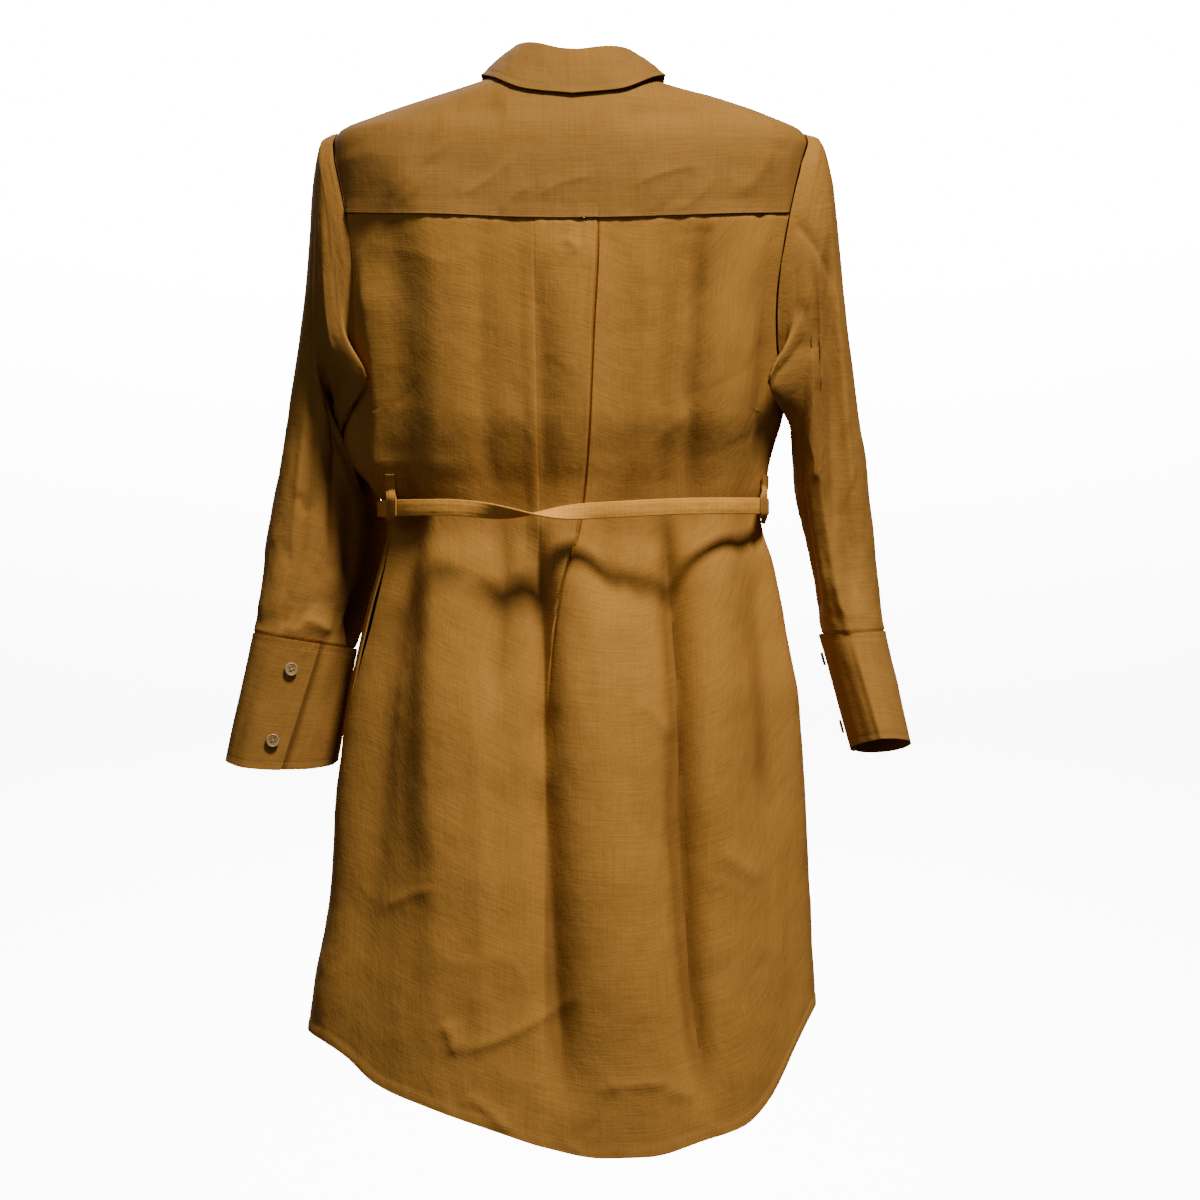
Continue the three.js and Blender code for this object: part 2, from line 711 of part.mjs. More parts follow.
function makeSleeve(sideName) {
  const turns = sleeveTurns();
  const rows = [0, 0.7, 1.6, 2.6, 3.8, 5, 6.4, 7.8, 9.2, 10.6, 12].reverse();
  const order = sideName === "left" ? turns : [...turns].reverse();
  const grid = (out) => rows.map((row) => order.map((turn) => sleevePoint(sideName, turn, row, out)));
  addPiece(`sleeve_${sideName}`, wallGeometry(grid(0), grid(-clothWall), true));
}

// Cuffs: a strip wound once round with its end lapped over its start. Tilt lowers the lower edge behind.
const cuffs = {
  left: {
    topOuter: [-277.6, -17, -500], topInner: [-196.5, 44.4, -513.4], topDepth: 30,
    lowOuter: [-303, -16, -616], lowInner: [-213, 46, -613], lowDepth: 31, tilt: 0.24,
    edgeTurn: 83, lowEdgeTurn: 68, lapTurns: 26,
  },
  right: {
    topOuter: [282.6, -15, -497.6], topInner: [230.4, -6.4, -500.4], topDepth: 44,
    lowOuter: [305, -36, -597], lowInner: [257, -30, -603], lowDepth: 42, tilt: -0.17,
    edgeTurn: 196, lowEdgeTurn: 200, lapTurns: 26,
  },
};
function cuffPoint(sideName, turn, share, out) {
  const cuff = cuffs[sideName];
  const outerEdge = new THREE.Vector3(...cuff.topOuter).lerp(new THREE.Vector3(...cuff.lowOuter), share);
  const innerEdge = new THREE.Vector3(...cuff.topInner).lerp(new THREE.Vector3(...cuff.lowInner), share);
  const depth = lerp(cuff.topDepth, cuff.lowDepth, share);
  const centre = outerEdge.clone().add(innerEdge).multiplyScalar(0.5);
  const half = outerEdge.clone().sub(innerEdge).multiplyScalar(0.5);
  const behind = new THREE.Vector3(0, -1, 0).addScaledVector(half, half.y / half.lengthSq()).normalize();
  const [c, s] = [Math.cos(turn * degree), Math.sin(turn * degree)];
  const point = centre
    .addScaledVector(half, (c * (half.length() + out)) / half.length())
    .addScaledVector(behind, s * (depth + out));
  return point.add(new THREE.Vector3(0, 0, -cuff.tilt * share * s * (depth + out)));
}
// How far round the strip a place lies: 0 at the hidden start, 1 at the lapped edge that shows.
function cuffStripTurn(cuff, along, share) {
  const edge = lerp(cuff.edgeTurn, cuff.lowEdgeTurn, share);
  return edge - (1 - along) * (360 + cuff.lapTurns);
}
function makeCuff(sideName) {
  const cuff = cuffs[sideName];
  const alongs = steps(0, 1, 30);
  const lift = (along) => smooth(0.84, 0.91, along) * (cuffWall + seamGap + 0.2);
  const rows = steps(1, 0, 3);
  const grid = (out) =>
    rows.map((share) =>
      alongs.map((along) => cuffPoint(sideName, cuffStripTurn(cuff, along, share), share, lift(along) + out)),
    );
  const order = (g) => (sideName === "left" ? g : g.map((row) => [...row].reverse()));
  addPiece(`cuff_${sideName}`, wallGeometry(order(grid(cuffWall)), order(grid(0))));
}

// The belt: a flat strip round the waist, held off the hollows by the crests, with a half twist behind.
const beltSize = { left: 170.6, right: 180, back: 122, front: 128, square: 2.45 };
const beltTwist = { from: -96, to: 34 };
const beltDrop = table(
  ["x", "z"],
  [
    [-175, 1],
    [-110, 1],
    [-34, -5],
    [30, -2],
    [110, 2],
    [175, 3],
  ],
);
function beltMiddle(angle) {
  const across = Math.sin(angle * degree);
  const behind = Math.cos(angle * degree);
  const side = across < 0 ? beltSize.left : beltSize.right;
  const deep = behind > 0 ? beltSize.back : beltSize.front;
  const n = beltSize.square;
  const radius = (Math.abs(across / side) ** n + Math.abs(behind / deep) ** n) ** (-1 / n);
  const x = radius * across;
  const y = -radius * behind;
  return new THREE.Vector3(x, y, beltZ + beltDrop(x).z * (1 - smooth(0, 60, y)));
}
function beltSection(angle) {
  const middle = beltMiddle(angle);
  const along = beltMiddle(angle + 0.5).sub(beltMiddle(angle - 0.5)).normalize();
  const outward = new THREE.Vector3(along.y, -along.x, 0).normalize();
  const up = along.clone().cross(outward).multiplyScalar(-1).normalize();
  const twist = Math.cos(angle * degree) > 0 ? smooth(beltTwist.from, beltTwist.to, middle.x) * Math.PI : 0;
  const flat = up.clone().multiplyScalar(Math.cos(twist)).addScaledVector(outward, Math.sin(twist));
  const face = outward.clone().multiplyScalar(Math.cos(twist)).addScaledVector(up, -Math.sin(twist));
  return { middle, flat, face, outward };
}
// A strip solid through sections, each with a middle, a direction across its width and one out of its face.
function stripGeometry(sections, width, wall) {
  const corner = (s, w, f) =>
    s.middle.clone().addScaledVector(s.flat, (w * width) / 2).addScaledVector(s.face, (f * wall) / 2);
  const outer = [1, -1].map((w) => sections.map((s) => corner(s, w, 1)));
  const inner = [1, -1].map((w) => sections.map((s) => corner(s, w, -1)));
  return wallGeometry(outer, inner);
}
function facingOut(geometry) {
  const p = geometry.attributes.position;
  const index = geometry.index.array;
  let volume = 0;
  const at = (i) => new THREE.Vector3().fromBufferAttribute(p, i);
  for (let i = 0; i < index.length; i += 3) {
    volume += at(index[i]).dot(at(index[i + 1]).cross(at(index[i + 2])));
  }
  if (volume < 0) {
    for (let i = 0; i < index.length; i += 3) [index[i + 1], index[i + 2]] = [index[i + 2], index[i + 1]];
  }
  return geometry;
}
const knotHalf = 10;
const beltSections = 64;
function makeBelt() {
  const knotAngle = Math.atan2(knotHalf, beltSize.front) / degree;
  const angles = steps(-180 + knotAngle, 180 - knotAngle, beltSections);
  addPiece("belt", facingOut(stripGeometry(angles.map(beltSection), beltWidth, beltWall)));
}
function makeKnot() {
  const middle = beltMiddle(180);
  const knot = new THREE.SphereGeometry(1, 14, 9);
  const p = knot.attributes.position;
  for (let i = 0; i < p.count; i++) {
    const v = new THREE.Vector3().fromBufferAttribute(p, i);
    const wide = knotHalf - seamGap;
    const squared = (value, power) => Math.sign(value) * Math.abs(value) ** power;
    p.setXYZ(i, wide * squared(v.x, 0.8), 7.5 * squared(v.y, 0.8), 10.5 * squared(v.z, 0.8));
  }
  const piece = addPiece("belt_knot", knot);
  piece.position.set(middle.x, middle.y + 1.5, middle.z);
}
// The two ends hang from the knot down the front.
const tailLength = 235;
function makeTail(sideName) {
  const side = sideName === "left" ? -1 : 1;
  const middle = beltMiddle(180);
  const top = middle.z - 10.1 - seamGap;
  const place = (share) => {
    const z = top - share * tailLength;
    const x = side * (5.5 + 16 * share + 3 * Math.sin(share * 5 + side));
    const front = Math.max(bodyPoint(180 - 4, z).y, bodyPoint(180 + 4, z).y, bodyAt(z).front) + 12;
    const y = lerp(middle.y + 2 + side * 1.4, front + 3 * side, smooth(0, 0.35, share));
    return new THREE.Vector3(x, y, z);
  };
  const sections = steps(0, 1, 14).map((share) => {
    const along = place(share + 0.01).sub(place(share - 0.01)).normalize();
    const turn = side * (0.25 + 0.5 * share);
    const flat = new THREE.Vector3(Math.cos(turn), Math.sin(turn), 0);
    flat.addScaledVector(along, -flat.dot(along)).normalize();
    const face = flat.clone().cross(along).normalize();
    return { middle: place(share), flat, face };
  });
  const narrow = 10.5; // the strip is pinched where it leaves the knot
  const corner = (s, w, f, share) =>
    s.middle
      .clone()
      .addScaledVector(s.flat, (w * lerp(narrow, beltWidth, smooth(0, 0.2, share))) / 2)
      .addScaledVector(s.face, (f * beltWall) / 2);
  const shares = steps(0, 1, 14);
  const outer = [1, -1].map((w) => sections.map((s, i) => corner(s, w, 1, shares[i])));
  const inner = [1, -1].map((w) => sections.map((s, i) => corner(s, w, -1, shares[i])));
  addPiece(`belt_end_${sideName}`, facingOut(wallGeometry(outer, inner)));
}

// Belt loops are sewn to the cloth at both ends and pass over the belt.
const loops = { left: { angle: -67, middleZ: -380 }, right: { angle: 75, middleZ: -380 } };
const loopFoot = 0.95; // how far the sewn ends stand off the cloth
const loopClear = 0.9;
// The angle at which the cloth, with its folds, lies at this x.
function clothAngleAt(x, z) {
  let [low, high] = [-90, 90];
  for (let i = 0; i < 20; i++) {
    const middle = (low + high) / 2;
    if (bodyPoint(middle, z).x < x) low = middle;
    else high = middle;
  }
  return low;
}
function makeLoop(sideName) {
  const { angle, middleZ } = loops[sideName];
  const belt = beltSection(angle);
  const outward = belt.outward;
  const halfAngle = Math.asin(loopWidth / 2 / 172) / degree;
  const grid = (extra) =>
    steps(0, 1, 12).map((share) =>
      [-1, 0, 1].map((w) => {
        const z = middleZ + (share - 0.5) * loopHeight;
        const section = beltSection(angle + w * halfAngle);
        const over = section.middle.addScaledVector(section.outward, beltWall / 2 + loopClear);
        const rise = Math.exp(-(((z - belt.middle.z) / 14.5) ** 6));
        over.z = z;
        const skin = bodyOff(clothAngleAt(over.x, z), z, loopFoot);
        const lie = skin.clone().lerp(over, rise);
        const sunk = Math.max(0, skin.dot(outward) - lie.dot(outward));
        return lie.addScaledVector(outward, sunk + extra);
      }),
    );
  addPiece(`belt_loop_${sideName}`, facingOut(wallGeometry(grid(clothWall), grid(0))));
}

// Pocket bags hang flat and empty inside the front, behind the openings in the side seams.
const pocketWall = 2.4; // two layers that lie on each other
const pocketSlack = 5; // how far the bag hangs off the cloth
function makePocket(sideName) {
  const side = sideName === "left" ? -1 : 1;
  const rows = steps(0, 1, 8);
  const grid = (out) =>
    rows.map((share) => {
      const z = lerp(pocketBottomZ - 40, pocketTopZ + 4, share);
      const deep = lerp(46, 66, Math.sin(Math.min(1, share * 1.6) * Math.PI * 0.5));
      const slack = lerp(pocketSlack, 0.9, smooth(0.9, 1, share));
      const seam = seamY(side, z);
      return steps(seam - 14, seam + deep, 4).map((y) => {
        const ease = slack * lerp(1, 1.8, clamp(Math.abs(y) / 60, 0, 1));
        return bodyOff(sideAngle(side, z, y), z, out - ease);
      });
    });
  const inside = -clothWall - seamGap;
  const order = (g) => (side > 0 ? g : g.map((row) => [...row].reverse()));
  addPiece(`pocket_${sideName}`, facingOut(wallGeometry(order(grid(inside)), order(grid(inside - pocketWall)))));
}

// Buttons: a raised rim round a dished middle.
function buttonGeometry() {
  const [r, t] = [buttonRadius, buttonThickness];
  const profile = [
    [0, 0],
    [r, 0],
    [r * 0.96, t],
    [r * 0.62, t],
    [0, t * 0.6],
  ];
  const geometry = new THREE.LatheGeometry(profile.map(([x, y]) => new THREE.Vector2(x, y)), 12);
  return geometry.rotateX(Math.PI / 2);
}
function addButton(name, place, normal) {
  const button = addPiece(name, buttonGeometry(), horn);
  button.quaternion.setFromUnitVectors(new THREE.Vector3(0, 0, 1), normal.clone().normalize());
  button.position.copy(place);
}
function makeButtons() {
  const lift = placketLift + clothWall;
  frontButtonZ.forEach((z, i) => {
    const normal = bodyNormal(180, z);
    const centre = bodyOff(180, z, lift);
    const edges = [-buttonRadius, buttonRadius].map((step) => bodyOff(180, z + step, lift).sub(centre).dot(normal));
    addButton(`front_button_${i + 1}`, centre.addScaledVector(normal, Math.max(0, ...edges) + seamGap), normal);
  });
  const standFace = standPoint(180, 0.5, clothWall + seamGap + 0.3 + seamGap + 0.5);
  addButton("stand_button", standFace, new THREE.Vector3(0, 1, 0.2));
  const cuffButtons = [
    { side: "left", number: 1, share: 0.225, back: 14.7 },
    { side: "left", number: 2, share: 0.775, back: 11.7 },
    { side: "right", number: 1, share: 0.21, back: 17 },
    { side: "right", number: 2, share: 0.8, back: 17 },
  ];
  for (const { side, number, share, back } of cuffButtons) {
    const cuff = cuffs[side];
    const round = 250;
    const turn = cuffStripTurn(cuff, 1, share) - (back / round) * 360;
    const lap = cuffWall + seamGap + 0.2;
    const at = (d, s, out) => cuffPoint(side, turn + d, share + s, out);
    const out = lap + cuffWall;
    const across = at(2, 0, out).sub(at(-2, 0, out));
    const up = at(0, -0.02, out).sub(at(0, 0.02, out));
    const normal = across.cross(up).normalize();
    const fromAxis = at(0, 0, out).sub(at(180, 0, out));
    if (normal.dot(fromAxis) < 0) normal.negate();
    addButton(`cuff_button_${side}_${number}`, at(0, 0, out).addScaledVector(normal, seamGap + 0.35), normal);
  }
}

makeBackPanel();
makeYoke();
makeFront(-1, "front_left", -14 + halfSeam);
makeFront(1, "front_right", 14 + halfSeam);
makePlacket();
makeStand();
makeCollar();
for (const side of ["left", "right"]) {
  makeSleeve(side);
  makeCuff(side);
  makeLoop(side);
  makePocket(side);
  makeTail(side);
}
makeBelt();
makeKnot();
makeButtons();

export default dress;
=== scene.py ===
# Linen shirt dress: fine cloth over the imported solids, seen from behind as it hangs filled out
import math

import bpy
import numpy as np
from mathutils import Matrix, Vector


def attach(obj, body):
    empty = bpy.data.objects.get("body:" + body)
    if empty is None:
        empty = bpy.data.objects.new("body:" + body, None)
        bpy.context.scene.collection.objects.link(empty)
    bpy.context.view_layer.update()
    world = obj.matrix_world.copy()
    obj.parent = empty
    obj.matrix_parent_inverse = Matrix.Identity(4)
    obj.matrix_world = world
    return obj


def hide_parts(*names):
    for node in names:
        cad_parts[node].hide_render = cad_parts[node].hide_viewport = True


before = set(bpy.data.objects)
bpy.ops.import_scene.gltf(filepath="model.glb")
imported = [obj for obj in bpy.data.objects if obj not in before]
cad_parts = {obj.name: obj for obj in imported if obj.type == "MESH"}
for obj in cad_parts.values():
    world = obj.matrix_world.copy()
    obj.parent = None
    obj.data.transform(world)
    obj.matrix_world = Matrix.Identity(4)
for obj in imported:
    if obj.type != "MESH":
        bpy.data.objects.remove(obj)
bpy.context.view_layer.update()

view = {"cameraDistance": 5.0, "frameWidth": 1.08, "centreX": 0.0288, "centreZ": -0.4698}


def addObject(name, data):
    made = bpy.data.objects.new(name, data)
    bpy.context.scene.collection.objects.link(made)
    return made


def makeCamera(look):
    data = bpy.data.cameras.new("photoCamera")
    data.sensor_width = 36.0
    data.lens = data.sensor_width * look["cameraDistance"] / look["frameWidth"]
    data.clip_end = 60
    camera = addObject("photoCamera", data)
    camera.location = (look["centreX"], -look["cameraDistance"], look["centreZ"])
    camera.rotation_euler = (math.pi / 2, 0, 0)
    bpy.context.scene.camera = camera


makeCamera(view)
print("camera made")

# Shape tables and functions work in millimetres, in the frame's own axes; meshes are written in metres
mm = 0.001
rootBody = "root"

# Cut sizes shared by several pieces
cut = {
    "wall": 1.5,
    "neckCentreX": 5, "neckCentreY": 7, "neckHalfWidth": 65, "neckHalfDepth": 69,
    "yokeSeamZ": -125, "yokeSag": -8, "frontYokeAngle": 100,
    "armholeTopZ": -50, "armholeBottomZ": -302, "armholeBackSpread": 18.5, "armholeFrontSpread": 20,
    "skirtFootZ": -870, "lineCentreZ": -97,
    "seamGap": 0.3, "placketWidth": 28, "placketLift": 0.45,
    "pocketTopZ": -409, "pocketBottomZ": -562, "pocketGape": 5,
    "beltZ": -389,
}


def lerp(a, b, t):
    return a + (b - a) * t


def smooth(low, high, value):
    t = np.clip((value - low) / (high - low), 0, 1)
    return t * t * (3 - 2 * t)


def steps(start, end, count):
    return np.linspace(start, end, count + 1)


def unit(v):
    return v / np.linalg.norm(v, axis=-1, keepdims=True)


def together(*values):  # number arrays of one common shape
    return np.broadcast_arrays(*(np.asarray(v, float) for v in values))


def readTable(rows):  # smooth reading of a table at any value of its first column
    rows = np.array(rows, float)
    if rows[0, 0] > rows[-1, 0]:
        rows = rows[::-1]
    key, values = rows[:, 0], rows[:, 1:]
    step = np.diff(values, axis=0) / np.diff(key)[:, None]
    product, total = step[:-1] * step[1:], step[:-1] + step[1:]
    inner = np.where(product > 0, 2 * product / np.where(total == 0, 1, total), 0)
    slope = np.vstack([step[:1], inner, step[-1:]])

    def at(value):
        v = np.clip(np.asarray(value, float), key[0], key[-1])
        i = np.clip(np.searchsorted(key, v) - 1, 0, len(key) - 2)
        h = (key[i + 1] - key[i])[..., None]
        t = (v - key[i])[..., None] / h
        rise, run = values[i] * (1 + 2 * t) * (1 - t) ** 2, slope[i] * h * t * (1 - t) ** 2
        return rise + run + values[i + 1] * t * t * (3 - 2 * t) + slope[i + 1] * h * t * t * (t - 1)
    return at


latticeSize = 97


def softNoise(u, v, size, seed):  # smooth lattice noise from -1 to 1
    lattice = np.random.default_rng(seed).uniform(-1, 1, (latticeSize, latticeSize))
    gu, gv = np.asarray(u) / size, np.asarray(v) / size
    iu, iv = np.floor(gu).astype(int), np.floor(gv).astype(int)
    fu, fv = gu - iu, gv - iv
    fu, fv = fu * fu * (3 - 2 * fu), fv * fv * (3 - 2 * fv)
    left, right = iu % latticeSize, (iu + 1) % latticeSize
    low, high = iv % latticeSize, (iv + 1) % latticeSize
    near = lerp(lattice[low, left], lattice[low, right], fu)
    far = lerp(lattice[high, left], lattice[high, right], fu)
    return lerp(near, far, fv)


def crumple(u, v, size, lean, stretch, seed):  # thin meandering crease lines, as linen keeps from wear
    c, s = math.cos(math.radians(lean)), math.sin(math.radians(lean))
    across, along = (u * c + v * s), (v * c - u * s) / stretch
    bend = softNoise(u, v, size * 1.7, seed + 5) * size * 0.4
    line = 1 - np.abs(softNoise(across + bend, along, size, seed))
    where = np.clip(softNoise(u, v, size * 1.3, seed + 9) + 0.15, 0, 1)
    return line ** 5 * where


def creaseRise(x, z, rows):  # creases: ends, rise, reach on each side, bow and how sharp
    total = np.zeros(np.broadcast(x, z).shape)
    for x0, z0, x1, z1, rise, leftReach, rightReach, bow, sharp in rows:
        length = math.hypot(x1 - x0, z1 - z0)
        dx, dz = (x1 - x0) / length, (z1 - z0) / length
        t = ((x - x0) * dx + (z - z0) * dz) / length
        off = (x - x0) * -dz + (z - z0) * dx
        off = off - bow * 4 * np.clip(t, 0, 1) * (1 - np.clip(t, 0, 1))
        reach = np.where(off < 0, leftReach, rightReach)
        taper = smooth(-0.12, 0.22, t) * (1 - smooth(0.78, 1.12, t))
        total += rise * np.exp(-np.abs(off / reach) ** sharp) * taper
    return total


# The body's outline: z, left, right, back, front, squareness
bodyAt = readTable([
    [6, 54, 54, 54, 38, 2.2], [0, 68, 68, 62, 48, 2.2], [-8, 92, 95, 70, 55, 2.2],
    [-20, 128, 138, 80, 61, 2.3], [-35, 172, 181, 90, 66, 2.4], [-50, 206, 211, 98, 71, 2.6],
    [-62, 212, 216, 102, 75, 2.7], [-80, 214, 215, 106, 81, 2.8], [-125, 213, 213, 112, 99, 2.8],
    [-200, 207, 207, 114, 116, 2.7], [-302, 199, 194, 110, 122, 2.5], [-345, 193, 182, 102, 118, 2.4],
    [-370, 175.5, 177, 96, 111, 2.4], [-389, 163, 172, 94, 108, 2.4], [-408, 162.5, 175, 96, 109, 2.4],
    [-434, 169, 184, 102, 112, 2.4], [-506, 187, 198, 114, 120, 2.3], [-560, 198, 208, 122, 126, 2.3],
    [-650, 209, 214, 130, 132, 2.2], [-740, 215, 218, 136, 138, 2.2], [-830, 231, 223, 141, 142, 2.2],
    [-980, 244, 229, 146, 146, 2.2],
])

# Folds that run down the cloth: z, crest's x, rise, reach to the left and right
backFolds = [readTable(rows) for rows in (
    [[-60, -160, 0, 26, 50], [-130, -124, 7, 26, 55], [-200, -112, 12, 26, 60], [-300, -113, 13, 24, 60],
     [-389, -118, 15, 24, 55], [-500, -120, 19, 26, 60], [-620, -122, 18, 28, 62], [-740, -112, 13, 32, 66],
     [-860, -114, 8, 36, 70], [-960, -110, 4, 40, 70]],
    [[-110, 18, 0, 40, 40], [-150, 17, 3, 42, 40], [-200, 16, 9, 44, 40], [-300, 14, 15, 46, 42],
     [-389, 8, 20, 44, 34], [-440, 6, 23, 44, 30], [-500, 20, 25, 54, 44], [-620, 27, 25, 60, 55],
     [-740, 42, 22, 62, 60], [-860, 60, 16, 62, 60], [-960, 66, 9, 60, 60]],
    [[-120, 172, 0, 28, 24], [-200, 158, 8, 30, 26], [-300, 149, 15, 32, 30], [-389, 142, 16, 30, 28],
     [-500, 134, 21, 32, 36], [-620, 130, 21, 32, 44], [-740, 148, 13, 36, 48], [-860, 154, 8, 40, 50],
     [-960, 156, 4, 44, 50]],
)]
frontFolds = [readTable(rows) for rows in (
    [[-150, -104, 0, 40, 34], [-260, -110, 8, 40, 30], [-389, -104, 15, 34, 26], [-500, -112, 18, 40, 32],
     [-700, -126, 17, 50, 40], [-960, -132, 10, 54, 44]],
    [[-300, -48, 0, 18, 16], [-389, -44, 9, 18, 16], [-480, -52, 13, 24, 20], [-700, -56, 11, 30, 24],
     [-960, -58, 6, 34, 26]],
    [[-300, 44, 0, 16, 18], [-389, 42, 9, 16, 20], [-480, 50, 13, 20, 26], [-700, 58, 12, 24, 34],
     [-960, 60, 7, 26, 36]],
    [[-150, 100, 0, 34, 40], [-260, 112, 8, 30, 40], [-389, 112, 14, 28, 36], [-500, 116, 18, 34, 40],
     [-700, 130, 17, 42, 50], [-960, 138, 10, 46, 54]],
)]
foldRest = 0.35  # share of each fold's rise that the cloth lies back by

# The box pleat: z, left edge, right edge, how proud
pleatAt = readTable([
    [-120, -29, 26, 0], [-134, -29, 25.6, 1], [-165, -29, 25, 3], [-220, -28, 22, 3.4], [-330, -26, 17, 3.4],
    [-400, -24, 10, 3.2], [-470, -30, -9, 2.6], [-540, -34, -17, 1.0], [-600, -36, -20, 0],
    [-980, -40, -24, 0],
])
pleatEdge = 0.9
pleatLook = {
    "fullProud": 3, "leftSlope": 15.0, "lip": 0.8, "lipInset": 1.0, "lipWidth": 3.0,
    "groove": 3.2, "grooveOut": 0.7, "grooveWidth": 1.0,
    "faintGroove": 0.35, "faintOut": 0.6, "faintWidth": 0.9,
}

# Creases of the back: x0, z0, x1, z1, rise, reach left, reach right, bow, sharpness
backCreases = [
    # the lit band left of the first valley, and narrow valleys between the folds above the belt
    [-184, -165, -170, -400, 14, 14, 26, 4, 1.5],
    [-140, -150, -134, -395, 1.5, 16, 18, 3, 1.8],
    [-74, -150, -66, -392, -3.5, 12, 14, -5, 1.8],
    [-30, -170, -22, -395, -5, 9, 13, 3, 1.6],
    [70, -160, 58, -392, 3.5, 10, 16, 4, 1.6],
    [96, -190, 88, -390, -3, 12, 10, -3, 1.7],
    [122, -150, 116, -395, -7.5, 11, 9, -4, 1.6],
    [178, -215, 168, -395, -4, 8, 9, 3, 1.7],
    # valleys and ridges of the skirt
    [-146, -400, -160, -700, 1.5, 12, 12, -8, 1.7],
    [-160, -690, -152, -930, 1.5, 15, 14, 4, 1.8],
    [-60, -405, -66, -560, -5, 13, 11, 3, 1.7],
    [-86, -560, -78, -880, 3, 12, 22, 6, 1.5],
    [-26, -418, -21, -610, -18, 13, 11, 2, 1.5],
    [-21, -590, -2, -900, -17, 15, 15, -3, 1.5],
    [48, -420, 66, -660, 3.5, 8, 14, 3, 1.4],
    [92, -404, 104, -640, -14, 12, 9, 4, 1.5],
    [104, -610, 124, -900, -17, 17, 9, -4, 1.6],
    [176, -420, 190, -660, -4, 9, 8, 2, 1.7],
    [186, -640, 196, -820, 3, 9, 7, 2, 1.5],
    # small creases near the hem and on the pleat
    [-110, -842, -100, -868, 2.6, 5, 9, 2, 1.2],
    [-100, -868, 6, -818, 2.2, 5, 8, -6, 1.2],
    [-88, -905, -52, -935, 1.8, 5, 6, 2, 1.2],
    [28, -898, 92, -893, 1.7, 5, 5, 2, 1.2],
    [86, -900, 112, -908, 2.0, 6, 8, 2, 1.1],
    [-2, -150, 9, -164, 1.6, 4, 5, 1, 1.2],
    [-172, -742, -118, -724, 1.4, 5, 6, 2, 1.2],
    [136, -690, 176, -716, 1.5, 5, 7, -3, 1.2],
    [60, -560, 96, -590, 1.4, 5, 6, 3, 1.2],
]
yokeCreases = [
    [-160, -118, -96, -62, 1.7, 6, 10, 5, 1.3],
    [-92, -112, -46, -78, 1.5, 5, 7, -3, 1.2],
    [-150, -120, -120, -88, 1.6, 5, 8, -3, 1.3],
    [-60, -128, -30, -104, 1.2, 5, 7, 3, 1.3],
    [96, -126, 130, -98, 1.4, 5, 8, -3, 1.3],
    [-130, -96, -112, -34, -2.2, 10, 12, 3, 1.7],
    [44, -44, 122, -36, -4.6, 13, 15, 3, 1.6],
    [60, -104, 118, -86, 1.4, 5, 7, 3, 1.2],
    [150, -112, 182, -70, 1.8, 7, 9, -4, 1.4],
    [-24, -112, 22, -96, 1.1, 5, 6, 3, 1.2],
    [-108, -37, -58, -33, -4.6, 13, 14, 2, 1.7],
]
frontCreases = [
    [-150, -230, -60, -300, 2.2, 8, 12, 5, 1.4],
    [150, -240, 66, -296, 2.2, 8, 12, -5, 1.4],
    [-126, -410, -140, -700, -4.5, 12, 11, 5, 1.6],
    [-76, -404, -84, -760, -4.5, 13, 12, -4, 1.6],
    [78, -404, 90, -740, -4.5, 12, 13, 4, 1.6],
    [132, -410, 150, -720, -4.5, 11, 12, -5, 1.6],
    [-168, -600, -150, -780, 3, 9, 10, 3, 1.5],
    [40, -820, 110, -800, 1.8, 5, 7, 3, 1.2],
    [-120, -840, -60, -826, 1.7, 5, 7, -3, 1.2],
]

# wear in the cloth: rise, size, lean, stretch and seed of crease lines; rise, size and seed of swells
wearLook = {
    "runPerDegree": 3.1,
    "creases": [(1.1, 62, 32, 2.2, 11), (-0.8, 48, -38, 1.8, 23)],
    "swells": [(0.5, 34, 31), (0.2, 13, 47)],
    "skirtTop": -560, "skirtFoot": -860, "skirtRise": 1.3, "skirtCreases": (40, 64, 1.7, 61),
}
# the front's side swells under the left arm
sideBulge = {"rise": 8.5, "angle": -98, "spread": 17, "z": -329, "reach": 22}

hemBack = readTable([
    [-240, -853], [-205, -875], [-174, -897], [-124, -915], [-61, -936], [-20, -949], [30, -958], [70, -957],
    [119, -944], [155, -933], [180, -912], [198, -886], [211, -860], [225, -832], [240, -822],
])
hemFront = readTable([
    [-240, -853], [-200, -868], [-150, -890], [-80, -908], [0, -915], [80, -908], [150, -886], [205, -850],
    [240, -822],
])
seamSwing = readTable([
    [-302, 0, 0], [-345, -12, -1], [-389, -26, -3], [-500, -30, -6], [-600, -26, -7], [-700, -18, -6],
    [-800, -7, -3], [-870, 0, 0],
])


def turned(angle):
    return (np.asarray(angle) + 180) % 360 - 180


def bodyRing(angle, z):
    size = bodyAt(z)
    radians = np.radians(angle)
    across, behind = np.sin(radians), np.cos(radians)
    side = np.where(across < 0, size[..., 0], size[..., 1])
    deep = np.where(behind > 0, size[..., 2], size[..., 3])
    square = size[..., 4]
    radius = (np.abs(across / side) ** square + np.abs(behind / deep) ** square) ** (-1 / square)
    return np.stack([radius * across, -radius * behind, np.broadcast_to(z, radius.shape)], -1)


def foldRise(x, z, folds):
    rise = np.zeros(np.broadcast(x, z).shape)
    for fold in folds:
        at = fold(z)
        off = x - at[..., 0]
        reach = np.where(off < 0, at[..., 2], at[..., 3])
        rise += at[..., 1] * (np.exp(-(off / reach) ** 2) - foldRest)
    return rise


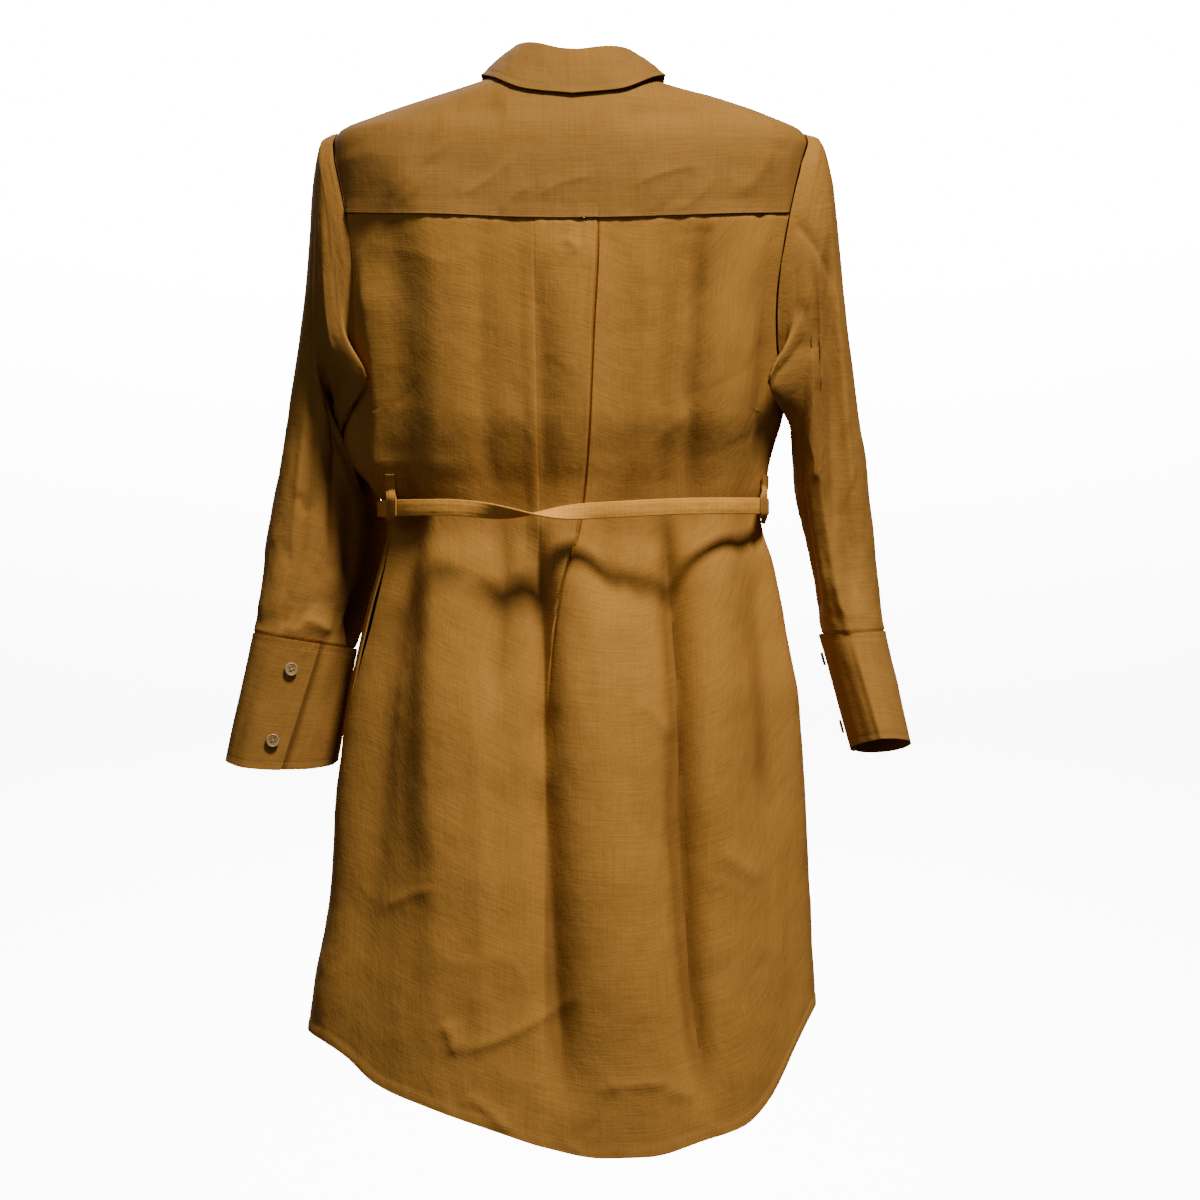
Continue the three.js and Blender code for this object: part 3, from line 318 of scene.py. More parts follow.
def pleatRise(x, z):
    at = pleatAt(z)
    left, right, proud = at[..., 0], at[..., 1], at[..., 2]
    step = proud * smooth(left - pleatLook["leftSlope"], left, x) * (1 - smooth(right, right + pleatEdge, x))
    fromLip = (x - right + pleatLook["lipInset"]) / pleatLook["lipWidth"]
    lip = pleatLook["lip"] * np.exp(-fromLip ** 2) * (x < right + 0.1)
    fromRight = (x - right - pleatEdge - pleatLook["grooveOut"]) / pleatLook["grooveWidth"]
    fromLeft = (x - left + pleatLook["faintOut"]) / pleatLook["faintWidth"]
    rightLine = pleatLook["groove"] * np.exp(-fromRight ** 2)
    leftLine = pleatLook["faintGroove"] * np.exp(-fromLeft ** 2)
    return step + (lip - rightLine - leftLine) * proud / pleatLook["fullProud"]


def bodyPoint(angle, z, fine=True):
    angle, z = together(angle, z)
    place = bodyRing(angle, z)
    x = place[..., 0]
    back = np.abs(turned(angle)) < 90
    behind = np.abs(np.cos(np.radians(angle)))
    fade = smooth(0.12, 0.42, behind)
    calm = smooth(6, 30, np.abs(x))
    rise = np.where(back, foldRise(x, z, backFolds), foldRise(x, z, frontFolds) * calm) * fade
    rise = rise + np.where(back, pleatRise(x, z), 0)
    if fine:
        soft = smooth(0.05, 0.3, behind)
        yokeLine = cut["yokeSeamZ"] + cut["yokeSag"]
        below = 1 - smooth(yokeLine - 14, yokeLine - 2, z)
        rise = rise + np.where(back, creaseRise(x, z, backCreases) * below * soft, 0)
        rise = rise + np.where(back, creaseRise(x, z, yokeCreases) * (1 - below), 0)
        rise = rise + np.where(back, 0, creaseRise(x, z, frontCreases) * soft * calm)
        run = angle * wearLook["runPerDegree"]
        for amount, *shape in wearLook["creases"]:
            rise = rise + amount * crumple(run, z, *shape)
        for amount, *shape in wearLook["swells"]:
            rise = rise + amount * softNoise(run, z, *shape)
        under = smooth(wearLook["skirtTop"], wearLook["skirtFoot"], z)
        rise = rise + under * wearLook["skirtRise"] * crumple(run, z, *wearLook["skirtCreases"])
        rise = rise + sideBulge["rise"] * np.exp(
            -((turned(angle) - sideBulge["angle"]) / sideBulge["spread"]) ** 2
            - ((z - sideBulge["z"]) / sideBulge["reach"]) ** 2)
    near = unit(bodyRing(angle + 0.4, z) - bodyRing(angle - 0.4, z))
    outward = np.stack([near[..., 1], -near[..., 0], np.zeros_like(x)], -1)
    return place + outward * rise[..., None]


def neckZ(angle):
    low, high = np.full(np.shape(angle), -120.0), np.full(np.shape(angle), 6.0)
    for _ in range(30):
        middle = (low + high) / 2
        place = bodyRing(angle, middle)
        reachX = (place[..., 0] - cut["neckCentreX"]) / cut["neckHalfWidth"]
        reachY = (place[..., 1] - cut["neckCentreY"]) / cut["neckHalfDepth"]
        inside = reachX ** 2 + reachY ** 2 < 1
        high = np.where(inside, middle, high)
        low = np.where(inside, low, middle)
    return low


def hemZ(angle):
    x = bodyRing(angle, np.full(np.shape(angle), -900.0))[..., 0]
    return np.where(np.cos(np.radians(angle)) > 0, hemBack(x)[..., 0], hemFront(x)[..., 0])


def sideAngle(side, z, y):
    size = bodyAt(z)
    reach = size[..., 0] if side < 0 else size[..., 1]
    return side * (90 + np.degrees(np.arcsin(np.clip(y / reach, -0.9, 0.9))))


def gape(z):
    share = (z - cut["pocketTopZ"]) / (cut["pocketBottomZ"] - cut["pocketTopZ"])
    return np.where((share > 0) & (share < 1), np.sin(np.clip(share, 0, 1) * math.pi) * cut["pocketGape"], 0)


def seamY(side, z):
    return seamSwing(z)[..., 0 if side < 0 else 1]


halfSeam = 0.2


def backSide(side, z):
    return sideAngle(side, z, seamY(side, z) - halfSeam - gape(z))


def frontSide(side, z):
    return sideAngle(side, z, seamY(side, z) + halfSeam + gape(z) * 0.4)


armholeMiddle = (cut["armholeTopZ"] + cut["armholeBottomZ"]) / 2
armholeHalf = (cut["armholeTopZ"] - cut["armholeBottomZ"]) / 2


def armholeAt(turn):  # angle on the right side and height, for a turn of 0 at the shoulder and 90 behind
    across = np.sin(np.radians(turn))
    spread = np.where(across > 0, cut["armholeBackSpread"], cut["armholeFrontSpread"])
    return 90 - spread * across, armholeMiddle + armholeHalf * np.cos(np.radians(turn))


backTurn = math.degrees(math.acos((cut["yokeSeamZ"] - armholeMiddle) / armholeHalf))
frontTurn = math.degrees(math.asin((cut["frontYokeAngle"] - 90) / cut["armholeFrontSpread"]))
seamEndAngle = float(armholeAt(backTurn)[0])


def yokeSeam(angle):
    across = np.clip(np.abs(angle) / seamEndAngle, 0, 1)
    return cut["yokeSeamZ"] + cut["yokeSag"] * (1 - across * across)


# Mesh making

def gridNormals(points, wraps=False):
    if wraps:
        across = np.roll(points, -1, axis=1) - np.roll(points, 1, axis=1)
    else:
        across = np.gradient(points, axis=1)
    normal = np.cross(across, np.gradient(points, axis=0))
    return normal / np.maximum(np.linalg.norm(normal, axis=-1, keepdims=True), 1e-9)


def clothUv(points):  # lengths along the cloth in metres
    across = np.linalg.norm(np.diff(points, axis=1), axis=-1)
    along = np.linalg.norm(np.diff(points, axis=0), axis=-1)
    u = np.concatenate([np.zeros((points.shape[0], 1)), np.cumsum(across, axis=1)], axis=1)
    u = u - u[:, u.shape[1] // 2][:, None]
    v = np.concatenate([np.zeros((1, points.shape[1])), np.cumsum(along, axis=0)], axis=0)
    return np.stack([u, v], -1) * mm


def meshFrom(name, points, faces, uv=None, shadeTones=None, material=None, sharpAngle=52):
    mesh = bpy.data.meshes.new(name)
    points = np.asarray(points, float).reshape(-1, 3) * mm
    faces = np.asarray(faces, np.int32)
    corners = faces.shape[1]
    mesh.vertices.add(len(points))
    mesh.vertices.foreach_set("co", points.ravel())
    mesh.loops.add(faces.size)
    mesh.loops.foreach_set("vertex_index", faces.ravel())
    mesh.polygons.add(len(faces))
    mesh.polygons.foreach_set("loop_start", np.arange(0, faces.size, corners, dtype=np.int32))
    mesh.update(calc_edges=True)
    mesh.polygons.foreach_set("use_smooth", np.ones(len(faces), bool))
    if uv is not None:
        layer = mesh.uv_layers.new(name="cloth")
        layer.data.foreach_set("uv", np.asarray(uv, float).reshape(-1, 2)[faces.ravel()].ravel())
    if shadeTones is not None:
        layer = mesh.attributes.new("hollowShade", "FLOAT", "POINT")
        layer.data.foreach_set("value", np.asarray(shadeTones, float).ravel())
    mesh.validate()
    mesh.set_sharp_from_angle(angle=math.radians(sharpAngle))
    piece = addObject(name, mesh)
    if material:
        mesh.materials.append(material)
    return piece


def ringQuads(index):  # faces between rings of points, each ring closed on itself
    nextColumn = np.roll(index, -1, axis=1)
    return np.stack([index[:-1], nextColumn[:-1], nextColumn[1:], index[1:]], -1).reshape(-1, 4)


def blur(values, radius):  # box blur along both ways of a grid
    for axis in (0, 1):
        padded = np.concatenate([
            np.repeat(np.take(values, [0], axis), radius, axis), values,
            np.repeat(np.take(values, [-1], axis), radius, axis),
        ], axis)
        total = np.cumsum(padded, axis=axis)
        first = np.take(total, [0], axis) * 0
        total = np.concatenate([first, total], axis)
        count = values.shape[axis]
        high = np.take(total, np.arange(count) + 2 * radius + 1, axis)
        low = np.take(total, np.arange(count), axis)
        values = (high - low) / (2 * radius + 1)
    return values


def wallMesh(name, outer, wall, material, wraps=False, hollowShade=None):  # closed wall behind a grid of points
    rows, columns = outer.shape[:2]
    inner = outer - gridNormals(outer, wraps) * wall
    index = np.arange(rows * columns).reshape(rows, columns)
    shift = rows * columns
    if wraps:
        index = np.concatenate([index, index[:, :1]], axis=1)
    a, b, c, d = index[:-1, :-1], index[:-1, 1:], index[1:, 1:], index[1:, :-1]
    faces = [np.stack([a, b, c, d], -1).reshape(-1, 4), np.stack([d, c, b, a], -1).reshape(-1, 4) + shift]
    low, high = index[0], index[-1]
    faces.append(np.stack([low[:-1] + shift, low[1:] + shift, low[1:], low[:-1]], -1))
    faces.append(np.stack([high[:-1], high[1:], high[1:] + shift, high[:-1] + shift], -1))
    if not wraps:
        left, right = index[:, 0], index[:, -1]
        faces.append(np.stack([left[:-1], left[1:], left[1:] + shift, left[:-1] + shift], -1))
        faces.append(np.stack([right[:-1] + shift, right[1:] + shift, right[1:], right[:-1]], -1))
    uv = clothUv(outer)
    if hollowShade is None:
        hollowShade = np.zeros((rows, columns))
    points = np.concatenate([outer.reshape(-1, 3), inner.reshape(-1, 3)])
    return meshFrom(name, points, np.concatenate(faces), np.concatenate([uv.reshape(-1, 2)] * 2),
                    np.concatenate([hollowShade.ravel()] * 2), material)


# painted shade: how far each point lies behind its surroundings, stored as the hollow attribute that darkens
# the cloth's colour
def hollowShadeMask(points, radius=9, reach=5.0):  # how far each point lies behind its surroundings, 0 to 1
    around = np.stack([blur(points[..., axis], radius) for axis in range(3)], -1)
    depth = ((around - points) * gridNormals(points)).sum(-1)
    return np.clip(depth / reach, 0, 1)


# Materials

class Wire:  # a node's output that can stand in a Python expression
    def __init__(self, tree, socket):
        self.tree, self.socket = tree, socket

    def maths(self, operation, other=None, swap=False):
        node = self.tree.nodes.new("ShaderNodeMath")
        node.operation = operation
        order = [other, self] if swap else [self, other]
        for place, value in enumerate(order):
            if isinstance(value, Wire):
                self.tree.links.new(value.socket, node.inputs[place])
            elif value is not None:
                node.inputs[place].default_value = value
        return Wire(self.tree, node.outputs[0])

    def __add__(self, other):
        return self.maths("ADD", other)

    def __radd__(self, other):
        return self.maths("ADD", other, swap=True)

    def __sub__(self, other):
        return self.maths("SUBTRACT", other)

    def __rsub__(self, other):
        return self.maths("SUBTRACT", other, swap=True)

    def __mul__(self, other):
        return self.maths("MULTIPLY", other)

    def __rmul__(self, other):
        return self.maths("MULTIPLY", other, swap=True)

    def sine(self):
        return self.maths("SINE")

    def clamped(self):
        return self.maths("MINIMUM", 1.0).maths("MAXIMUM", 0.0)


class Finish:  # one material under construction
    def __init__(self, name):
        self.material = bpy.data.materials.new(name)
        self.material.use_nodes = True
        self.tree = self.material.node_tree
        self.tree.nodes.clear()

    def node(self, kind, settings=None, **sockets):
        node = self.tree.nodes.new(kind)
        for key, value in (settings or {}).items():
            setattr(node, key, value)
        for key, value in sockets.items():
            if isinstance(value, Wire):
                self.tree.links.new(value.socket, node.inputs[key])
            else:
                node.inputs[key].default_value = value
        return node

    def close(self, **values):  # the surface, led to the material's output
        shader = self.node("ShaderNodeBsdfPrincipled", None, **values)
        out = self.node("ShaderNodeOutputMaterial")
        self.tree.links.new(shader.outputs[0], out.inputs["Surface"])
        return self.material

    def wire(self, node, output=0):
        return Wire(self.tree, node.outputs[output])

    def mixColours(self, factor, first, second, blend="MIX"):
        node = self.tree.nodes.new("ShaderNodeMix")
        node.data_type, node.blend_type = "RGBA", blend
        for place, value in ((0, factor), (6, first), (7, second)):
            if isinstance(value, Wire):
                self.tree.links.new(value.socket, node.inputs[place])
            else:
                node.inputs[place].default_value = value
        return Wire(self.tree, node.outputs[2])


def linearColour(red, green, blue):
    def one(value):
        value = value / 255
        return value / 12.92 if value <= 0.04045 else ((value + 0.055) / 1.055) ** 2.4
    return (one(red), one(green), one(blue), 1.0)


# the hollow colour is painted shade, mixed into the cloth where the hollow attribute marks folds and hollows
linenLook = {
    "light": (195, 142, 69), "middle": (174, 121, 50), "deep": (140, 92, 32), "hollowShade": (88, 52, 12),
    "threadsPerMetre": 1150, "weaveHeight": 0.10, "slub": 0.6, "fleck": 0.22,
    "fineBump": 0.42, "fineDepth": 0.00055, "crease": 0.4, "creaseDepth": 0.0035,
    "middleShare": 0.45, "hollowShadeShare": 0.45, "roughness": 0.88, "roughnessSpread": 0.12, "shine": 0.18,
    "weftShare": 1.1, "warpShare": 0.9, "streaks": 0.9, "patches": 0.55, "flecks": 0.35, "warpHeight": 0.8,
    # noises of the cloth: scale across and along, detail, roughness and place
    "weftSlub": (22, 620, 3.0, 0.65, 1.3), "warpSlub": (620, 18, 3.0, 0.65, 7.9),
    "patchNoise": (9, 9, 4.0, 0.55, 3.1), "fleckNoise": (520, 520, 2.0, 0.7, 5.7),
    "crushNoise": (26, 17, 5.0, 0.6, 11.3),
}


# the last argument scales all of the cloth's colours, as painted light or painted shade on one part
def linenMaterial(name, look, turn=0.0, dim=1.0):
    finish = Finish(name)
    uv = finish.node("ShaderNodeUVMap", {"uv_map": "cloth"})
    place = finish.wire(finish.node("ShaderNodeMapping", None, Vector=finish.wire(uv), Rotation=(0, 0, turn)))
    parts = finish.node("ShaderNodeSeparateXYZ", None, Vector=place)
    u, v = finish.wire(parts, 0), finish.wire(parts, 1)

    def stretched(acrossScale, alongScale, detail, roughness, seed):
        scaled = finish.node("ShaderNodeMapping", None, Vector=place, Scale=(acrossScale, alongScale, 1),
                             Location=(seed, seed * 0.37, 0))
        return finish.wire(finish.node("ShaderNodeTexNoise", {"noise_dimensions": "2D"}, Scale=1.0,
                                       Vector=finish.wire(scaled), Detail=detail, Roughness=roughness))

    weftSlub, warpSlub = stretched(*look["weftSlub"]), stretched(*look["warpSlub"])
    patch, fleck, crush = (stretched(*look[key]) for key in ("patchNoise", "fleckNoise", "crushNoise"))

    threads = look["threadsPerMetre"] * math.pi
    weft, warp = (v * threads).sine(), (u * threads).sine()
    weave = weft * warp
    streaks = (weftSlub - 0.5) * look["weftShare"] + (warpSlub - 0.5) * look["warpShare"]
    patches, flecks = (patch - 0.5) * look["patches"], (fleck - 0.5) * look["flecks"]
    tone = (0.5 + streaks * look["streaks"] + patches + flecks).clamped()

    def shade(key):
        return linearColour(*(channel * dim for channel in look[key]))
    colour = finish.mixColours(tone, shade("deep"), shade("light"))
    colour = finish.mixColours(look["middleShare"], colour, shade("middle"))
    # painted shade: the cloth is mixed towards the hollow colour by the hollow attribute
    hollowShade = finish.node("ShaderNodeAttribute", {"attribute_name": "hollowShade"})
    depth = finish.wire(hollowShade, 2)
    colour = finish.mixColours((depth * look["hollowShadeShare"]).clamped(), colour, shade("hollowShade"))

    height = weave * look["weaveHeight"] + (weftSlub - 0.5) * look["slub"]
    height = height + (warpSlub - 0.5) * look["slub"] * look["warpHeight"]
    height = height + (fleck - 0.5) * look["fleck"]
    fine = finish.node("ShaderNodeBump", None, Height=height, Strength=look["fineBump"],
                       Distance=look["fineDepth"])
    broad = finish.node("ShaderNodeBump", None, Height=crush, Normal=finish.wire(fine),
                        Strength=look["crease"], Distance=look["creaseDepth"])
    rough = look["roughness"] + (fleck - 0.5) * look["roughnessSpread"]
    return finish.close(**{"Base Color": colour, "Roughness": rough, "Normal": finish.wire(broad),
                           "Specular IOR Level": look["shine"]})


hornLook = {
    "pale": (188, 162, 116), "dark": (138, 108, 66), "cloud": 210.0, "roughness": 0.36, "gloss": 0.25,
    "detail": 4.0, "swirl": 1.6, "contrast": 1.8, "darker": 0.4, "grain": 0.12, "grainDepth": 0.0004,
}


def hornMaterial(name, look):
    finish = Finish(name)
    coords = finish.node("ShaderNodeTexCoord")
    cloud = finish.wire(finish.node("ShaderNodeTexNoise", None, Vector=finish.wire(coords, 3),
                                    Scale=look["cloud"], Detail=look["detail"], Distortion=look["swirl"]))
    tone = (cloud * look["contrast"] - look["darker"]).clamped()
    colour = finish.mixColours(tone, linearColour(*look["dark"]), linearColour(*look["pale"]))
    grain = finish.node("ShaderNodeBump", None, Height=cloud, Strength=look["grain"],
                        Distance=look["grainDepth"])
    return finish.close(**{"Base Color": colour, "Normal": finish.wire(grain), "Roughness": look["roughness"],
                           "Coat Weight": look["gloss"]})


threadLook = {"colour": (186, 138, 78), "paler": 1.18, "twist": 900.0, "roughness": 0.6}


def threadMaterial(name, look):
    finish = Finish(name)
    coords = finish.node("ShaderNodeTexCoord")
    twist = finish.node("ShaderNodeTexNoise", None, Vector=finish.wire(coords, 3), Scale=look["twist"])
    pale = tuple(min(255, channel * look["paler"]) for channel in look["colour"])
    mixed = finish.mixColours(finish.wire(twist), linearColour(*look["colour"]), linearColour(*pale))
    return finish.close(**{"Base Color": mixed, "Roughness": look["roughness"]})


linen = linenMaterial("camelLinen", linenLook)
# darker copies of the linen: painted shade on the yoke, collar, sleeves and cuffs
shadedYokeLinen = linenMaterial("camelLinenYokeShaded", linenLook, dim=0.85)
shadedCollarLinen = linenMaterial("camelLinenCollarShaded", linenLook, turn=0.04, dim=0.83)
shadedSleeveLinen = linenMaterial("camelLinenSleeveShaded", linenLook, turn=0.06, dim=0.93)
# a brighter copy of the linen: painted light on the belt, its ends and knot
litBeltLinen = linenMaterial("camelLinenBeltLit", linenLook, dim=1.26)
# a darker copy of the linen: painted shade inside the pocket openings
shadedPocketLinen = linenMaterial("camelLinenPocketShaded", linenLook, dim=0.7)
horn = hornMaterial("paleHorn", hornLook)
thread = threadMaterial("camelThread", threadLook)
print("materials made")

sheets = {}


def dress(piece, nodes, flat=None, area=None):  # flat and area are the cut, in metres
    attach(piece, rootBody)
    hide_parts(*nodes)
    if flat:
        sheets[piece.name] = (piece, flat, area)


# The body panels

panelLook = {
    "backSideColumns": 84, "pleatColumns": 18, "skirtRows": 176, "upperRows": 76,
    "pleatOffsets": [-1.6, -0.6, 0, 0.3, 0.6, 0.9, 1.3, 1.7, 2.2, 3.0, 4.6],
    "frontColumns": 92, "frontCentreX": 14, "yokeRows": 84, "yokeColumns": 190, "shoulderRows": 34,
    "backShoulderColumns": 30, "frontShoulderColumns": 14, "edgeTuck": 0.08,
    "placketRows": 330, "placketColumns": 17,
    "hemFold": 9.0, "hemStep": 0.55, "hemGroove": 0.5, "hemGrooveWidth": 1.3, "hemPucker": 0.7,
    "pucker": 0.8, "puckerReach": 9, "seamDip": 1.3, "seamDipWidth": 2.2,
    "yokeFold": 1.3, "yokeFoldReach": 15, "yokeEdge": 0.5, "yokeEdgeReach": 2.6,
    "stitchDepth": 0.35, "stitchAt": 0.76, "stitchWidth": 0.07,
}


def pucker(distance, along, reach, seed):  # small uneven gathers beside a seam
    wave = softNoise(along, along * 0.2, 12, seed) + 0.6 * softNoise(along, along * 0.1, 5.5, seed + 1)
    return wave * np.exp(-np.abs(distance) / reach)


def moveOut(points, amount, wraps=False):
    return points + gridNormals(points, wraps) * np.asarray(amount)[..., None]


def hemLine(points, hem, look):  # groove of the hem's stitching and the two layers below it
    z = points[..., 2]
    above = z - hem
    fold = look["hemStep"] * (1 - smooth(look["hemFold"] - 0.8, look["hemFold"] + 1.4, above))
    groove = -look["hemGroove"] * np.exp(-((above - look["hemFold"]) / look["hemGrooveWidth"]) ** 2)
    gathers = look["hemPucker"] * pucker(above - look["hemFold"], points[..., 0], look["puckerReach"], 71)
    return moveOut(points, fold + groove + gathers)


def makeBack(look):
    def columns(z, left, right):
        at = pleatAt(z)
        size = bodyAt(z)

        def angleOf(x):
            wide = np.where(x < 0, size[..., 0], size[..., 1])
            square = size[..., 4]
            y = size[..., 2] * (1 - np.abs(x / wide) ** square) ** (1 / square)
            return np.degrees(np.arctan2(x, y))
        near = np.array(look["pleatOffsets"])
        leftEdge = angleOf(at[..., 0] - near[::-1])
        rightEdge = angleOf(at[..., 1] + near)
        return np.concatenate([
            np.linspace(left, leftEdge[0], look["backSideColumns"])[:-1], leftEdge,
            np.linspace(leftEdge[-1], rightEdge[0], look["pleatColumns"])[1:-1], rightEdge,
            np.linspace(rightEdge[-1], right, look["backSideColumns"])[1:],
        ])

    rows = []
    for share in steps(0, 1, look["skirtRows"]):
        level = np.array(lerp(cut["skirtFootZ"], cut["armholeBottomZ"], share))
        angle = columns(level, backSide(-1, level), backSide(1, level))
        z = lerp(hemZ(angle), cut["armholeBottomZ"], share)
        angle[0], angle[-1] = backSide(-1, z[0]), backSide(1, z[-1])
        rows.append((angle, z))
    for share in steps(0, 1, look["upperRows"])[1:]:
        level = lerp(cut["armholeBottomZ"], cut["yokeSeamZ"], share)
        turn = math.degrees(math.acos(max(-1, (level - armholeMiddle) / armholeHalf)))
        edge = float(armholeAt(turn)[0])
        angle = columns(np.array(level), -edge, edge)
        top = yokeSeam(angle) - cut["seamGap"] / 2
        rows.append((angle, lerp(cut["armholeBottomZ"], top, share)))
    angle, z = (np.array(part) for part in zip(*rows))
    points = bodyPoint(angle, z)
    points = hemLine(points, hemZ(angle), look)
    fromYoke = yokeSeam(angle) - points[..., 2]
    dip = look["seamDip"] * np.exp(-(fromYoke / look["seamDipWidth"]) ** 2)
    gathers = look["pucker"] * pucker(fromYoke, points[..., 0], look["puckerReach"], 81)
    points = moveOut(points, gathers - dip)
    piece = wallMesh("clothBack", points, cut["wall"], linen, hollowShade=hollowShadeMask(points))
    dress(piece, ["back_panel"], flat=(0.61, 0.83), area=0.40)
    return points


def makeYoke(look):
    backTurns = np.linspace(backTurn, 0, look["backShoulderColumns"])[1:]
    frontTurns = np.linspace(0, -frontTurn, look["frontShoulderColumns"])[1:]
    endAngles, endZ = armholeAt(np.concatenate([backTurns, frontTurns]))
    endAngles[-1] -= look["edgeTuck"]
    bottomAngles = np.linspace(-seamEndAngle, seamEndAngle, look["yokeColumns"])
    angle = np.concatenate([-endAngles[::-1], bottomAngles, endAngles])
    z = np.concatenate([endZ[::-1], yokeSeam(bottomAngles) + cut["seamGap"] / 2, endZ])
    share = steps(0, 1, look["yokeRows"])[:, None]
    grid = lerp(z[None], neckZ(angle)[None], share)
    angle = np.repeat(angle[None], len(share), axis=0)
    points = bodyPoint(angle, grid)
    fromSeam = points[..., 2] - yokeSeam(angle)
    onBack = np.abs(angle) < seamEndAngle
    fold = look["yokeFold"] * (1 - smooth(0, look["yokeFoldReach"], fromSeam))
    fold = fold + look["yokeEdge"] * (1 - smooth(0, look["yokeEdgeReach"], fromSeam))
    gathers = look["pucker"] * pucker(fromSeam, points[..., 0], look["puckerReach"], 91)
    points = moveOut(points, np.where(onBack, fold, 0) + np.where(onBack, gathers, 0))
    piece = wallMesh("clothYoke", points, cut["wall"], shadedYokeLinen, hollowShade=hollowShadeMask(points, 6, 4))
    dress(piece, ["back_yoke"], flat=(0.46, 0.24), area=0.082)
    return points


def makeFront(side, look):
    name, node = ("clothFrontLeft", "front_left") if side < 0 else ("clothFrontRight", "front_right")
    centreX = side * look["frontCentreX"] + halfSeam
    columns = np.linspace(0, 1, look["frontColumns"])

    def centreAngle(z):
        return 180 - math.degrees(math.atan2(side * centreX, float(bodyAt(z)[3])))
    rows = []
    for share in steps(0, 1, look["skirtRows"]):
        level = np.array(lerp(cut["skirtFootZ"], cut["armholeBottomZ"], share))
        angle = lerp(centreAngle(level), abs(float(frontSide(side, level))), columns)
        z = lerp(hemZ(side * angle), cut["armholeBottomZ"], share)
        z[-1] = lerp(float(hemZ(np.array(side * 89.9))), cut["armholeBottomZ"], share)
        angle[-1] = abs(float(frontSide(side, z[-1])))
        rows.append((angle, z))
    topZ = float(armholeAt(-frontTurn)[1])
    for share in steps(0, 1, look["upperRows"])[1:]:
        level = lerp(cut["armholeBottomZ"], topZ, share)
        turn = -math.degrees(math.acos(max(-1, (level - armholeMiddle) / armholeHalf)))
        edge = float(armholeAt(turn)[0]) + look["edgeTuck"]
        centreZ = lerp(cut["armholeBottomZ"], cut["lineCentreZ"], share)
        angle = lerp(centreAngle(centreZ), edge, columns)
        rows.append((angle, lerp(centreZ, level, columns ** 2)))
    last, lastZ = rows[-1]
    for share in steps(0, 1, look["shoulderRows"])[1:]:
        rows.append((last, lerp(lastZ, neckZ(last), share)))
    angle, z = (np.array(part) for part in zip(*rows))
    angle = side * angle
    if side > 0:
        angle, z = angle[:, ::-1], z[:, ::-1]
    points = bodyPoint(angle, z)
    points = hemLine(points, hemZ(angle), look)
    piece = wallMesh(name, points, cut["wall"], linen, hollowShade=hollowShadeMask(points))
    dress(piece, [node], flat=(0.30, 0.88), area=0.217)
    return points


def makePlacket(look):
    top, bottom = float(neckZ(np.array(180.0))) - 1, float(hemZ(np.array(180.0))) + 1
    z = np.linspace(bottom, top, look["placketRows"])[:, None]
    half = np.degrees(np.arctan2(cut["placketWidth"] / 2, bodyAt(z)[..., 3]))
    across = np.linspace(-1, 1, look["placketColumns"])[None]
    angle = 180 + half * across
    points = bodyPoint(angle, np.broadcast_to(z, angle.shape))
    stitch = -look["stitchDepth"] * np.exp(-((np.abs(across) - look["stitchAt"]) / look["stitchWidth"]) ** 2)
    points = moveOut(points, cut["placketLift"] + cut["wall"] + stitch)
    piece = wallMesh("clothPlacket", points, cut["wall"], linen, hollowShade=hollowShadeMask(points, 4, 3))
    dress(piece, ["front_placket"], flat=(0.03, 0.87))
    return points


backGrid = makeBack(panelLook)
yokeGrid = makeYoke(panelLook)
frontLeftGrid = makeFront(-1, panelLook)
frontRightGrid = makeFront(1, panelLook)
placketGrid = makePlacket(panelLook)
print("body panels made")


# Collar

collarLook = {
    "standHeight": 24, "standEnd": 189, "endAngle": 166, "columns": 240, "fallRows": 26, "standRows": 12,
    "foldRows": 10, "wall": 1.1, "runPerDegree": 1.1, "fall": 34, "foldTurn": 172,
    "wave": 0.9, "fineWave": 0.5, "crease": 1.2,
    "stitchAt": 0.86, "stitchWidth": 0.03, "stitchDepth": 0.35, "edgeStep": 0.3,
    "standTop": 0.94, "foldArch": 1.5, "tuckBack": 1.0, "tuckDown": 1.2,
    "backLean": 6, "sideLean": 13, "frontLean": 7, "backHeight": 0.93, "frontHeight": 1.08, "frontLift": 0.7,
    "overStand": 2.9, "overLap": 1.2, "foldRise": 1.4, "backDip": 4, "backDipReach": 26,
    "bulge": 2.6, "edgeBulge": 0.6,
    "lapFrom": 158, "lapTo": 168, "lapClear": 0.3, "roundFrom": 180, "rounding": 0.55, "standWave": 0.3,
}
collarEdgeAt = readTable([
    [0, 0, -86, -21], [30, 43, -80, -16], [60, 70, -53, -4], [90, 83, 3, 2.5], [120, 81, 46, -8],
    [145, 71, 84, -52], [166, 48, 106, -97],
])


def neckOutward(place):
    return unit(np.stack([
        (place[..., 0] - cut["neckCentreX"]) / cut["neckHalfWidth"],
        (place[..., 1] - cut["neckCentreY"]) / cut["neckHalfDepth"], np.zeros(place.shape[:-1]),
    ], -1))


def standPoint(angle, share, out):
    angle, share, out = together(angle, share, out)
    turn = turned(angle)
    base = bodyRing(turn, neckZ(turn))
    look = collarLook
    frontness = smooth(90, 180, np.abs(turn))
    sideways = np.abs(np.sin(np.radians(turn)))
    lean = lerp(lerp(look["backLean"], look["sideLean"], sideways), look["frontLean"], frontness)
    height = look["standHeight"] * lerp(look["backHeight"], look["frontHeight"], frontness)
    rise = cut["seamGap"] + look["frontLift"] * frontness + share * height
    up = np.stack([np.zeros_like(rise), np.zeros_like(rise), rise], -1)
    return base + up - neckOutward(base) * (share * lean - out)[..., None]


